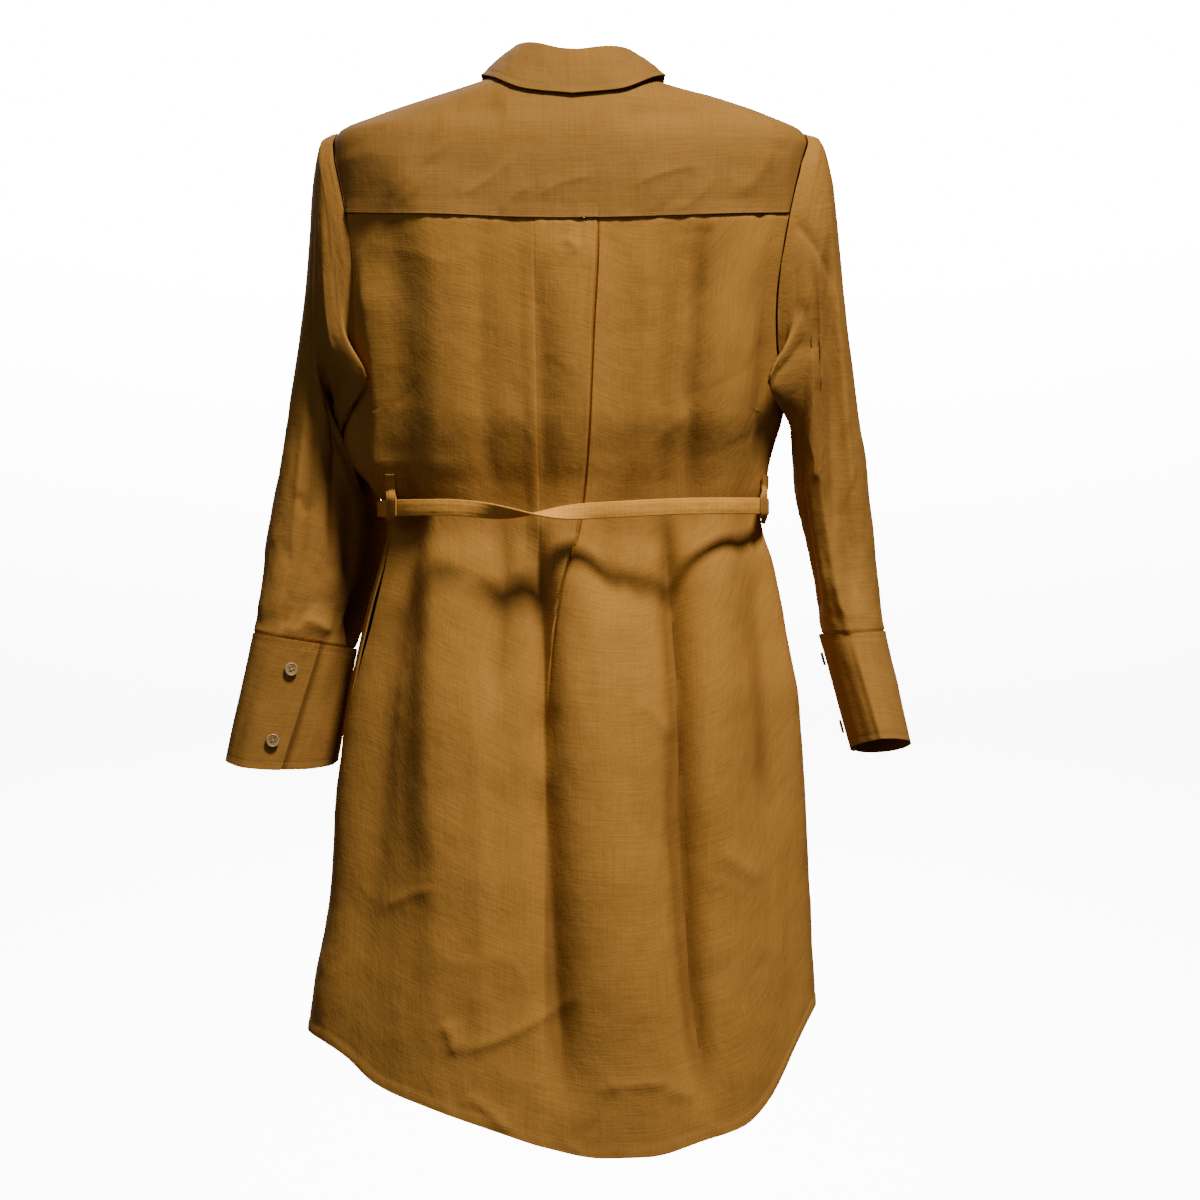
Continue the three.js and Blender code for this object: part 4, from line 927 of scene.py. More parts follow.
def collarPoint(angle, share, out):
    angle, share, out = together(angle, share, out)
    look = collarLook
    side, turn = np.where(angle < 0, -1, 1), np.abs(angle)
    edge = collarEdgeAt(turn)
    foldShare = look["foldTurn"] / look["endAngle"]
    foldTurn = turn * lerp(1, foldShare, smooth(60, look["endAngle"], turn))
    fold = standPoint(side * foldTurn, 1, look["overStand"] + look["overLap"] * smooth(150, 160, foldTurn))
    fold[..., 2] += look["foldRise"] - look["backDip"] * np.exp(-(turn / look["backDipReach"]) ** 2)
    end = np.stack([cut["neckCentreX"] + side * edge[..., 0], edge[..., 1], edge[..., 2]], -1)
    outward = neckOutward(fold)
    bulge = np.sin(share * math.pi) * look["bulge"]
    place = lerp(fold, end, share[..., None])
    place = place + outward * (bulge * lerp(1, look["edgeBulge"], share) + out)[..., None]
    place[..., 2] += out * 0.3
    return place


def makeCollar(look):
    angle = np.linspace(-look["endAngle"], look["endAngle"], look["columns"])[None]
    share = np.linspace(1, 0, look["fallRows"])[:, None]
    run, fallen = angle * look["runPerDegree"], share * look["fall"]
    wave = look["wave"] * softNoise(run, fallen, 22, 5) + look["fineWave"] * softNoise(run, fallen, 9, 8)
    crease = look["crease"] * crumple(run, fallen, 26, 30, 1.6, 15)
    stitch = -look["stitchDepth"] * np.exp(-((share - look["stitchAt"]) / look["stitchWidth"]) ** 2)
    stitch = stitch + look["edgeStep"] * smooth(0.88, 0.96, share)
    out = wave * smooth(0, 0.35, share) + crease * smooth(0.05, 0.3, share) + stitch
    fall = collarPoint(angle, share, out)
    # the fold turns over the top of the stand and a little way down its inside
    top = collarPoint(angle, np.zeros_like(angle), 0)[0]
    foldTurn = angle[0] * look["foldTurn"] / look["endAngle"]
    full = np.ones(angle.shape[1])
    inside = standPoint(foldTurn, full, -cut["wall"] - look["tuckBack"])
    inside[:, 2] += top[:, 2] - standPoint(foldTurn, full, 0)[:, 2] - look["tuckDown"]
    turnRows = []
    for t in np.linspace(0, 1, look["foldRows"])[1:]:
        arch = np.array([0, 0, 1]) * math.sin(t * math.pi) * look["foldArch"]
        turnRows.append(lerp(top, inside, t) + arch)
    points = np.concatenate([fall, np.array(turnRows)])
    piece = wallMesh("clothCollar", points, look["wall"], shadedCollarLinen, hollowShade=hollowShadeMask(points, 5, 4))
    dress(piece, ["collar"], flat=(0.42, 0.065))
    return fall


def makeStand(look):
    angle = np.linspace(-look["standEnd"], look["standEnd"], look["columns"])[None]
    share = np.linspace(0, look["standTop"], look["standRows"])[:, None]
    lap = smooth(look["lapFrom"], look["lapTo"], angle) * (cut["wall"] + cut["seamGap"] + look["lapClear"])
    rounded = 1 - look["rounding"] * smooth(look["roundFrom"], look["standEnd"], np.abs(angle)) ** 2
    wave = look["standWave"] * softNoise(angle, share * look["standHeight"], 12, 19)
    points = standPoint(angle, share * rounded, lap + wave)
    piece = wallMesh("clothStand", points, cut["wall"], linen, hollowShade=hollowShadeMask(points, 3, 3))
    dress(piece, ["collar_stand"], flat=(0.41, 0.027))


collarGrid = makeCollar(collarLook)
makeStand(collarLook)
print("collar made")


# Sleeves: row, outer x y z, inner x y z, half depth

sleeveTables = {
    "left": readTable([
        [0, -205, 0, -51, -197, 0, -303, 60], [1, -216, 0, -55, -200, 1, -306, 60],
        [2, -225, 0, -68, -202, 2, -311, 60], [3, -230, -1, -100, -204, 4, -319, 60],
        [4, -233, -2, -150, -204, 22, -330, 57], [5, -238, -3, -205, -200, 41, -343, 45],
        [6, -244, -5, -258, -181.5, 53, -360, 48], [7, -251, -8, -310, -168, 61, -385, 46],
        [8, -258, -11, -360, -161, 68, -415, 44], [9, -264, -14, -405, -167, 67, -443, 43],
        [10, -269, -16, -442, -175, 61, -470, 40], [11, -274, -17, -473, -186, 53, -494, 36],
        [12, -279, -17, -499, -196, 45, -513, 31],
    ]),
    "right": readTable([
        [0, 211, 0, -51, 197, 0, -303, 60], [1, 222, 0, -53, 198, 1, -306, 61],
        [2, 231, 0, -62, 199, 2, -311, 61], [3, 238, 0, -90, 200, 4, -318, 61],
        [4, 243, 0, -134, 201, 6, -328, 61], [5, 248, 0, -187, 202, 9, -341, 61],
        [6, 254, 0, -240, 203, 12, -358, 60], [7, 261, 0, -294, 205, 13, -378, 59],
        [8, 268, -1, -346, 210, 12, -400, 57], [9, 273, -3, -394, 217, 9, -424, 55],
        [10, 277, -6, -435, 222, 5, -450, 52], [11, 280.5, -10, -470, 225, 0, -476, 50],
        [12, 284, -15, -497, 229, -6, -500, 47],
    ]),
}
# turn, rise, spread, first row, last row, how far the crest wanders in turn over its rows
sleeveFolds = {
    "left": [
        [125, -21, 33, 3, 12.4, 0], [60, -5, 24, 5, 12, 0], [-70, -6, 26, 2, 11, 0], [-130, 5, 22, 3, 12, 0],
        [96, 3.5, 9, 4, 12.6, 14], [44, -3.0, 7, 2, 12.8, -10], [150, -5.5, 10, 3, 8.5, 12],
        [112, 3.0, 8, 1, 5.5, 26], [76, -2.6, 8, 6.5, 10.5, 18], [134, -7.0, 9, 9, 13.2, 10],
        [28, 2.2, 6, 6, 12.8, 6], [-30, -3, 9, 3, 10, 14], [-100, 3, 10, 4, 12, -16],
    ],
    "right": [
        [62, -10, 20, 3, 11.6, 0], [112, 5, 22, 4, 12, 0], [-60, -6, 26, 3, 11, 0], [-120, 5, 24, 3, 12, 0],
        [80, -4.0, 8, 1.5, 7, 20], [100, 4.0, 9, 6, 12.8, -14], [132, -5.0, 9, 4, 10.6, 10],
        [38, 2.6, 7, 2, 9.5, 8], [150, -6, 10, 7, 11.5, -8], [-28, -3, 9, 4, 11, 12], [-96, 3, 9, 5, 12, 14],
    ],
}
# loose cloth behind and under each arm: turn, spread, row, reach, how far inward and behind
underarmFolds = {"left": (133, 18, 2.2, 1.25, 27, 32), "right": (136, 19, 2.1, 1.4, 25, 31)}
# creases behind, placed as on the back panel
sleeveCreases = {
    "left": [
        [-209, -255, -212, -435, -8, 4, 16, 0, 1.4], [-249, -418, -256, -500, -1.8, 4, 5, 1, 1.2],
        [-242, -376, -234, -392, -1.6, 4, 5, 1, 1.2], [-238, -487, -214, -499, 3.5, 8, 8, 2, 1.4],
        [-224, -150, -220, -290, -1.6, 6, 9, 3, 1.4],
    ],
    "right": [
        [194, -128, 238, -190, -2.6, 4, 7, 6, 1.2], [208, -205, 216, -252, -2.2, 8, 10, 3, 1.5],
        [212, -236, 180, -276, -2.6, 6, 6, 2, 1.3], [236, -215, 238, -405, -4.5, 13, 3, 0, 1.3],
        [244, -180, 247, -330, 1.6, 6, 8, 2, 1.4],
    ],
}
# how much the cloth is shaded behind, where the body stands in its light
sleeveShades = {
    "left": [[-196, -350, -206, -505, 0.9, 14, 30, 0, 1.8]],
    "right": [[223, -255, 226, -410, 0.9, 13, 11, 0, 1.8], [226, -140, 220, -240, 0.35, 12, 12, 0, 2]],
}
sleeveLook = {
    "columns": 240, "rows": 170, "seeds": {"left": 200, "right": 300},
    "runPerDegree": 1.05, "fallPerRow": 38.0,
    "crumple": 1.3, "swell": 0.9, "fineSwell": 0.35, "elbowRow": 7.4, "elbowReach": 1.7, "elbowCrease": 2.2,
    "capRipple": 0.6, "capReach": 0.35, "tuckIn": 1.9, "tuckDown": 4.0,
    "capRows": 3.4, "capGap": 1.3, "capOut": 9, "capOutRows": 1.5, "capDown": 3,
}


def armRing(outerEdge, innerEdge, deep, turn, rise):  # round a sleeve or cuff: turn 0 outside, 90 behind
    centre, half = (outerEdge + innerEdge) / 2, (outerEdge - innerEdge) / 2
    length = np.linalg.norm(half, axis=-1)
    behind = unit(np.array([0, -1, 0]) + half * (half[..., 1] / length ** 2)[..., None])
    c, s = np.cos(np.radians(turn)), np.sin(np.radians(turn))
    return centre + half * (c * (length + rise) / length)[..., None] + behind * (s * (deep + rise))[..., None]


def sleevePoint(sideName, turn, row, rise, look):
    side = -1 if sideName == "left" else 1
    at = sleeveTables[sideName](row)
    ring = armRing(at[..., 0:3], at[..., 3:6], at[..., 6], turn, rise)
    blend = (1 - smooth(0, look["capRows"], row))[..., None]
    armAngle, armZ = armholeAt(turn)
    armAngle = side * armAngle
    seam = bodyPoint(armAngle, armZ, fine=False)
    around = bodyPoint(armAngle + 0.5, armZ, fine=False) - bodyPoint(armAngle - 0.5, armZ, fine=False)
    climb = bodyPoint(armAngle, armZ + 1.5, fine=False) - bodyPoint(armAngle, armZ - 1.5, fine=False)
    normal = unit(np.cross(around, climb))
    outward = side * (look["capGap"] + look["capOut"] * np.minimum(row, look["capOutRows"]))
    away = np.stack([outward, np.zeros_like(row), -look["capDown"] * row], -1)
    head = seam + away + normal * rise[..., None]
    middle, spread, level, reach, inward, back = underarmFolds[sideName]
    near = np.exp(-(turned(turn - middle) / spread) ** 2 - ((row - level) / reach) ** 2)
    share = smooth(0.6, 1.6, row) * near
    return lerp(ring, head, blend) + share[..., None] * np.array([-side * inward, -back, 0])


def makeSleeve(sideName, look):
    turn = np.linspace(0, 360, look["columns"], endpoint=False)[None]
    row = np.linspace(12, 0, look["rows"])[:, None]
    turn, row = np.broadcast_arrays(turn, row)
    rise = np.zeros(turn.shape)
    for crest, amount, spread, first, last, wander in sleeveFolds[sideName]:
        middle = crest + wander * (row - first) / (last - first)
        off = turned(turn - middle)
        edge = min(2.0, (last - first) / 3)
        along = smooth(first, first + edge, row) * (1 - smooth(last - edge, last, row))
        rise += amount * along * np.exp(-(off / spread) ** 2)
    run, fall = turned(turn) * look["runPerDegree"], row * look["fallPerRow"]
    seed = look["seeds"][sideName]
    calm = smooth(0, 0.7, row) * (1 - smooth(11.5, 12, row))
    rise += calm * look["crumple"] * crumple(run, fall, 44, 36, 1.9, seed)
    rise -= calm * look["crumple"] * 0.8 * crumple(run, fall, 36, -46, 1.7, seed + 3)
    swell = look["swell"] * softNoise(run, fall, 30, seed + 6)
    rise += calm * (swell + look["fineSwell"] * softNoise(run, fall, 12, seed + 8))
    elbow = np.exp(-((row - look["elbowRow"]) / look["elbowReach"]) ** 2)
    rise += look["elbowCrease"] * elbow * crumple(run, fall, 30, 74, 2.4, seed + 12)
    rise += look["capRipple"] * np.exp(-row / look["capReach"]) * softNoise(run, fall, 7, seed + 15)
    points = sleevePoint(sideName, turn, row, rise, look)
    end = points[0]
    inside = unit(end.mean(0) - end) * look["tuckIn"]
    down = unit(points[0] - points[4]) * look["tuckDown"]
    points = np.concatenate([(end + inside + down)[None], (end + inside * 0.5)[None], points[1:]])
    if sideName == "right":
        points = points[:, ::-1]
    alongSleeve = np.linspace(0, 1, len(points))[:, None]
    betweenSeams = smooth(0.0, 0.06, alongSleeve) * (1 - smooth(0.9, 0.975, alongSleeve))
    behind = betweenSeams * smooth(0.1, 0.5, -gridNormals(points, True)[..., 1])
    creases = creaseRise(points[..., 0], points[..., 2], sleeveCreases[sideName])
    points = moveOut(points, behind * creases, True)
    shade = behind * creaseRise(points[..., 0], points[..., 2], sleeveShades[sideName])
    piece = wallMesh(f"clothSleeve{sideName.title()}", points, cut["wall"], shadedSleeveLinen, wraps=True,
                     hollowShade=hollowShadeMask(points, 7, 4) + shade)
    dress(piece, [f"sleeve_{sideName}"], flat=(0.34, 0.46), area=0.105)


makeSleeve("left", sleeveLook)
makeSleeve("right", sleeveLook)
print("sleeves made")


# Cuffs

cuffLook = {
    "left": {
        "topOuter": (-277.6, -17, -500), "topInner": (-196.5, 44.4, -513.4), "topDepth": 30,
        "lowOuter": (-303, -16, -616), "lowInner": (-213, 46, -613), "lowDepth": 31, "tilt": 0.24,
        "edgeTurn": 83, "lowEdgeTurn": 68, "lapTurns": 26, "cutSize": (0.285, 0.118), "seed": 400,
    },
    "right": {
        "topOuter": (282.6, -15, -497.6), "topInner": (230.4, -6.4, -500.4), "topDepth": 44,
        "lowOuter": (305, -36, -597), "lowInner": (257, -30, -603), "lowDepth": 42, "tilt": -0.17,
        "edgeTurn": 196, "lowEdgeTurn": 200, "lapTurns": 26, "cutSize": (0.25, 0.108), "seed": 500,
    },
}
cuffWall = 2.0
cuffCloth = {
    "columns": 230, "rows": 64, "height": 118, "length": 250, "runPerDegree": 0.8,
    "swell": 0.45, "crumple": 0.5, "stitchIn": 6, "stitchDepth": 0.3, "stitchWidth": 1.2,
    "shadeAt": 0.076, "shadeWidth": 0.010, "shade": 1.6,
    "lapFrom": 0.84, "lapTo": 0.91, "lapClear": 0.2, "pressed": 0.8,
}
# turn, rise, spread: pressed lines down the cuffs
cuffCreases = {
    "left": [[96, 1.2, 9], [150, -2.2, 12], [30, 1.0, 12]],
    "right": [[84, 3.2, 7], [118, -2.6, 16], [40, -1.2, 14]],
}


def cuffPoint(sideName, turn, share, out):
    look = cuffLook[sideName]
    turn, share, out = together(turn, share, out)
    outerEdge = lerp(np.array(look["topOuter"], float), np.array(look["lowOuter"], float), share[..., None])
    innerEdge = lerp(np.array(look["topInner"], float), np.array(look["lowInner"], float), share[..., None])
    depth = lerp(look["topDepth"], look["lowDepth"], share)
    point = armRing(outerEdge, innerEdge, depth, turn, out)
    point[..., 2] -= look["tilt"] * share * np.sin(np.radians(turn)) * (depth + out)
    return point


def cuffTurn(look, along, share):
    return lerp(look["edgeTurn"], look["lowEdgeTurn"], share) - (1 - along) * (360 + look["lapTurns"])


def makeCuff(sideName, cloth):
    look = cuffLook[sideName]
    along = np.linspace(0, 1, cloth["columns"])[None]
    share = np.linspace(1, 0, cloth["rows"])[:, None]
    turn = cuffTurn(look, along, share)
    lap = smooth(cloth["lapFrom"], cloth["lapTo"], along)
    lift = lap * (cuffWall + cut["seamGap"] + cloth["lapClear"]) + cuffWall
    rise = np.zeros(turn.shape)
    for crest, amount, spread in cuffCreases[sideName]:
        rise += amount * np.exp(-(turned(turn - crest) / spread) ** 2) * smooth(-0.1, 0.4, share)
    run, fall = turn * cloth["runPerDegree"], share * cloth["height"]
    swell = cloth["swell"] * softNoise(run, fall, 26, look["seed"])
    rise += swell + cloth["crumple"] * crumple(run, fall, 30, 50, 1.5, look["seed"] + 2)
    fromRim = np.minimum(share, 1 - share) * cloth["height"] - cloth["stitchIn"]
    fromEdge = (1 - along) * cloth["length"] - cloth["stitchIn"]
    rim = -cloth["stitchDepth"] * np.exp(-(fromRim / cloth["stitchWidth"]) ** 2)
    rim = rim - cloth["stitchDepth"] * np.exp(-(fromEdge / cloth["stitchWidth"]) ** 2)
    points = cuffPoint(sideName, turn, share, lift + rise * cloth["pressed"] + rim)
    shade = np.exp(-((along - cloth["shadeAt"]) / cloth["shadeWidth"]) ** 2) + 0 * share
    if sideName == "right":
        points, shade = points[:, ::-1], shade[:, ::-1]
    hollowShade = np.clip(hollowShadeMask(points, 5, 3) + cloth["shade"] * shade, 0, 2)
    piece = wallMesh(f"clothCuff{sideName.title()}", points, cuffWall, shadedSleeveLinen, hollowShade=hollowShade)
    dress(piece, [f"cuff_{sideName}"], flat=look["cutSize"])
    return points


cuffLeftGrid = makeCuff("left", cuffCloth)
cuffRightGrid = makeCuff("right", cuffCloth)
print("cuffs made")


# Belt, loops, knot and ends

beltLook = {
    "left": 170.6, "right": 180, "back": 122, "front": 128, "square": 2.45, "width": 14.5, "wall": 1.9,
    "twistFrom": -96, "twistTo": 34, "columns": 620, "ripple": 0.4,
    "knotHalf": 10, "endLength": 235, "endDrop": 10.4, "endTopWidth": 10.5, "endRows": 130, "endRipple": 0.8,
    "endApart": 5.5, "endSpread": 16, "endSway": 3, "endClear": 12,
}
beltDrop = readTable([[-175, 1], [-110, 1], [-34, -5], [30, -2], [110, 2], [175, 3]])


def beltMiddle(angle):
    look = beltLook
    across, behind = np.sin(np.radians(angle)), np.cos(np.radians(angle))
    side = np.where(across < 0, look["left"], look["right"])
    deep = np.where(behind > 0, look["back"], look["front"])
    n = look["square"]
    radius = (np.abs(across / side) ** n + np.abs(behind / deep) ** n) ** (-1 / n)
    x = radius * across
    drop = beltDrop(x)[..., 0]
    drop = np.where(behind > 0, drop, drop * (1 - smooth(0, 60, radius * np.abs(behind))))
    return np.stack([x, -radius * behind, cut["beltZ"] + drop], -1)


def beltSection(angle):
    angle = np.asarray(angle, float)
    middle = beltMiddle(angle)
    along = unit(beltMiddle(angle + 0.5) - beltMiddle(angle - 0.5))
    outward = unit(np.stack([along[..., 1], -along[..., 0], np.zeros(angle.shape)], -1))
    up = unit(-np.cross(along, outward))
    behind = np.cos(np.radians(angle)) > 0
    twist = np.where(behind, smooth(beltLook["twistFrom"], beltLook["twistTo"], middle[..., 0]) * math.pi, 0)
    c, s = np.cos(twist)[..., None], np.sin(twist)[..., None]
    return middle, up * c + outward * s, outward * c - up * s, outward


def stripMesh(name, middle, flat, face, width, wall, material, ripple=0.0, seed=0):
    # a pressed, edge-stitched strip: a rounded section with a groove along each edge
    across = np.array([-1, -0.97, -0.9, -0.72, -0.62, -0.3, 0, 0.3, 0.62, 0.72, 0.9, 0.97, 1])
    proud = np.array([0.35, 0.7, 0.92, 0.74, 1, 1.0, 0.97, 1.0, 1, 0.74, 0.92, 0.7, 0.35])
    ring = [(a, p) for a, p in zip(across, proud)] + [(a, -p) for a, p in zip(across[::-1], proud[::-1])]
    count = len(middle)
    lengths = np.concatenate([[0], np.cumsum(np.linalg.norm(np.diff(middle, axis=0), axis=1))])
    width = np.broadcast_to(width, (count,))
    sway = ripple * softNoise(lengths, lengths * 0, 24, seed)
    points = np.array([
        middle + flat * (a * width / 2)[:, None] + face * (p * wall / 2 + sway * (1 - abs(a) * 0.4))[:, None]
        for a, p in ring
    ]).transpose(1, 0, 2)
    total = len(ring)
    index = np.arange(count * total).reshape(count, total)
    half = total // 2
    caps = []
    for i in range(half - 1):
        caps.append([index[0, i], index[0, total - 1 - i], index[0, total - 2 - i], index[0, i + 1]])
        caps.append([index[-1, i + 1], index[-1, total - 2 - i], index[-1, total - 1 - i], index[-1, i]])
    faces = np.concatenate([ringQuads(index), np.array(caps)])
    uvAcross = np.concatenate([across, across[::-1]]) * float(width.mean()) / 2
    uv = np.stack(np.broadcast_arrays(uvAcross[None] * mm, lengths[:, None] * mm), -1)
    flatPoints = points.reshape(-1, 3)
    a, b, c = flatPoints[faces[:, 0]], flatPoints[faces[:, 1]], flatPoints[faces[:, 2]]
    d = flatPoints[faces[:, 3]]
    volume = np.einsum("ij,ij->i", a, np.cross(b, c)).sum() + np.einsum("ij,ij->i", a, np.cross(c, d)).sum()
    if volume < 0:
        faces = faces[:, ::-1]
    return meshFrom(name, flatPoints, faces, uv.reshape(-1, 2), np.zeros(len(flatPoints)), material, 60)


def makeBelt(look):
    knotAngle = math.degrees(math.atan2(look["knotHalf"], look["front"]))
    angle = np.linspace(-180 + knotAngle, 180 - knotAngle, look["columns"])
    middle, flat, face, _ = beltSection(angle)
    piece = stripMesh("clothBelt", middle, flat, face, look["width"], look["wall"],
                      litBeltLinen, look["ripple"], 601)
    dress(piece, ["belt"], flat=(0.98, 0.0155))


def clothAngleAt(x, z):
    low = np.full(x.shape, -90.0)
    high = np.full(x.shape, 90.0)
    for _ in range(20):
        middle = (low + high) / 2
        before = bodyPoint(middle, z)[..., 0] < x
        low = np.where(before, middle, low)
        high = np.where(before, high, middle)
    return low


loopLook = {
    "angles": {"left": -67, "right": 75}, "middleZ": -380, "height": 43, "width": 15, "bodyRadius": 172,
    "rows": 60, "columns": 15, "overBelt": 0.9, "overCloth": 1.6, "liftReach": 14.5, "wall": 1.4,
    "stitchDepth": 0.3, "stitchAt": 0.74, "stitchWidth": 0.1,
}


def makeLoops(look):
    halfAngle = math.degrees(math.asin(look["width"] / 2 / look["bodyRadius"]))
    share = np.linspace(0, 1, look["rows"])
    z = look["middleZ"] + (share - 0.5) * look["height"]
    for sideName, angle in look["angles"].items():
        beltAt, _, _, outward = beltSection(np.array(float(angle)))
        rows = []
        for w in np.linspace(-1, 1, look["columns"]):
            sideMiddle, _, _, sideOut = beltSection(np.full(share.shape, angle + w * halfAngle))
            over = sideMiddle + sideOut * (beltLook["wall"] / 2 + look["overBelt"])
            over[:, 2] = z
            lift = np.exp(-(np.abs(z - beltAt[2]) / look["liftReach"]) ** 6)[:, None]
            ring = bodyPoint(clothAngleAt(over[:, 0], z), z)
            skin = ring + outward * look["overCloth"]
            lie = lerp(skin, over, lift)
            sunk = np.maximum(0, (skin * outward).sum(-1) - (lie * outward).sum(-1))
            fromStitch = (abs(w) - look["stitchAt"]) / look["stitchWidth"]
            groove = -look["stitchDepth"] * math.exp(-fromStitch ** 2)
            rows.append(lie + outward * (sunk + cut["wall"] + groove)[:, None])
        points = np.array(rows).transpose(1, 0, 2)
        piece = wallMesh(f"clothLoop{sideName.title()}", points, look["wall"], linen)
        dress(piece, [f"belt_loop_{sideName}"], flat=(0.015, 0.055))


def makeBeltEnds(look):
    middle = beltMiddle(np.array(180.0))
    top = middle[2] - look["endDrop"]
    for sideName, side in (("left", -1), ("right", 1)):
        def place(share):
            z = top - share * look["endLength"]
            sway = look["endSway"] * np.sin(share * 5 + side)
            x = side * (look["endApart"] + look["endSpread"] * share + sway)
            near = np.maximum(bodyPoint(np.full(z.shape, 176.0), z, False)[..., 1],
                              bodyPoint(np.full(z.shape, 184.0), z, False)[..., 1])
            front = np.maximum(near, bodyAt(z)[..., 3]) + look["endClear"]
            y = lerp(middle[1] + 2 + side * 1.4, front + 3 * side, smooth(0, 0.35, share))
            return np.stack([x, y, z], -1)
        share = np.linspace(0, 1, look["endRows"])
        along = unit(place(share + 0.01) - place(share - 0.01))
        turn = side * (0.25 + 0.5 * share)
        flat = np.stack([np.cos(turn), np.sin(turn), np.zeros_like(turn)], -1)
        flat = unit(flat - along * (flat * along).sum(-1)[:, None])
        face = unit(np.cross(flat, along))
        width = lerp(look["endTopWidth"], look["width"], smooth(0, 0.2, share))
        piece = stripMesh(f"clothBeltEnd{sideName.title()}", place(share), flat, face, width, look["wall"],
                          litBeltLinen, look["endRipple"], 640 + side)
        dress(piece, [f"belt_end_{sideName}"], flat=(0.24, 0.015))


knotLook = {
    "halfWidth": 9.2, "halfDepth": 7.0, "halfHeight": 9.8, "forward": 1.5, "around": 96, "rows": 60,
    "wrap": 0.07, "crossWrap": 0.05, "crease": 0.10, "creaseWidth": 0.09,
}


def makeKnot(look):
    middle = beltMiddle(np.array(180.0)) + np.array([0, look["forward"], 0])
    turn = np.linspace(0, 2 * math.pi, look["around"], endpoint=False)[None]
    climb = np.linspace(-1, 1, look["rows"])[:, None]
    ring = np.sqrt(np.clip(1 - np.abs(climb) ** 2.6, 0, 1)) ** 0.9 + 0.02
    wrap = look["wrap"] * np.sin(turn * 2 + climb * 5.0) + look["crossWrap"] * np.sin(turn * 3 - climb * 8.0)
    crease = -look["crease"] * np.exp(-((climb - 0.35 * np.sin(turn + 0.6)) / look["creaseWidth"]) ** 2)
    size = ring * (1 + wrap + crease)
    x = np.cos(turn) * look["halfWidth"] * size
    y = np.sin(turn) * look["halfDepth"] * size
    z = climb * look["halfHeight"] + 0 * turn
    points = middle + np.stack([x, y, z], -1)
    rows, columns = points.shape[:2]
    index = np.arange(rows * columns).reshape(rows, columns)
    flatPoints = points.reshape(-1, 3)
    poles = np.array([points[0].mean(0), points[-1].mean(0)])
    flatPoints = np.concatenate([flatPoints, poles])
    low, high = len(flatPoints) - 2, len(flatPoints) - 1
    caps = []
    for i in range(0, columns, 2):
        a, b, c = index[0, i], index[0, (i + 1) % columns], index[0, (i + 2) % columns]
        caps.append([low, c, b, a])
        a, b, c = index[-1, i], index[-1, (i + 1) % columns], index[-1, (i + 2) % columns]
        caps.append([high, a, b, c])
    around = np.stack(np.broadcast_arrays(turn * 0.008, climb * 0.01), -1).reshape(-1, 2)
    uv = np.concatenate([around, np.zeros((2, 2))])
    piece = meshFrom("clothKnot", flatPoints, np.concatenate([ringQuads(index), np.array(caps)]), uv,
                     np.zeros(len(flatPoints)), litBeltLinen, 70)
    dress(piece, ["belt_knot"])


makeBelt(beltLook)
makeLoops(loopLook)
makeBeltEnds(beltLook)
makeKnot(knotLook)
print("belt made")


# Pocket bags and the narrow facing that shows in each opening

pocketLook = {
    "slack": 5, "topSlack": 0.9, "wall": 2.4, "layers": 0.9, "rows": 60, "columns": 34,
    "aboveOpening": 4, "belowOpening": 40, "behindSeam": 14, "topDepth": 46, "bagDepth": 66,
}


def makePocket(sideName, look):
    side = -1 if sideName == "left" else 1
    share = np.linspace(0, 1, look["rows"])[:, None]
    z = lerp(cut["pocketBottomZ"] - look["belowOpening"], cut["pocketTopZ"] + look["aboveOpening"], share)
    deep = lerp(look["topDepth"], look["bagDepth"], np.sin(np.minimum(1, share * 1.6) * math.pi * 0.5))
    slack = lerp(look["slack"], look["topSlack"], smooth(0.9, 1, share))
    across = np.linspace(0, 1, look["columns"])[None]
    y = lerp(-look["behindSeam"], deep, across)
    ease = slack * lerp(1, 1.8, np.clip(np.abs(y) / 60, 0, 1))
    zGrid = np.broadcast_to(z, y.shape)
    points = bodyPoint(sideAngle(side, zGrid, y + seamY(side, zGrid)), zGrid)
    if side < 0:
        points = points[:, ::-1]
        ease = ease[:, ::-1]
    points = moveOut(points, -cut["wall"] - cut["seamGap"] - ease)
    piece = wallMesh(f"clothPocket{sideName.title()}", points, look["wall"] * look["layers"], shadedPocketLinen)
    dress(piece, [f"pocket_{sideName}"], flat=(0.072, 0.187))


makePocket("left", pocketLook)
makePocket("right", pocketLook)
print("pockets made")


# Buttons

buttonLook = {
    "radius": 6.2, "thickness": 2.6, "holes": 4, "holeRadius": 0.95, "holeOut": 1.9, "holeDepth": 1.3,
    "dish": 0.82, "rim": 0.14, "edge": 0.28, "rings": 22, "around": 56,
    "threadRadius": 0.27, "threadApart": 0.32, "threadSides": 6, "threadSections": 15, "threadSeat": 0.62,
    "threadSunk": 0.5, "archFoot": 0.62, "archRise": 0.42, "secondBar": 0.14,
}


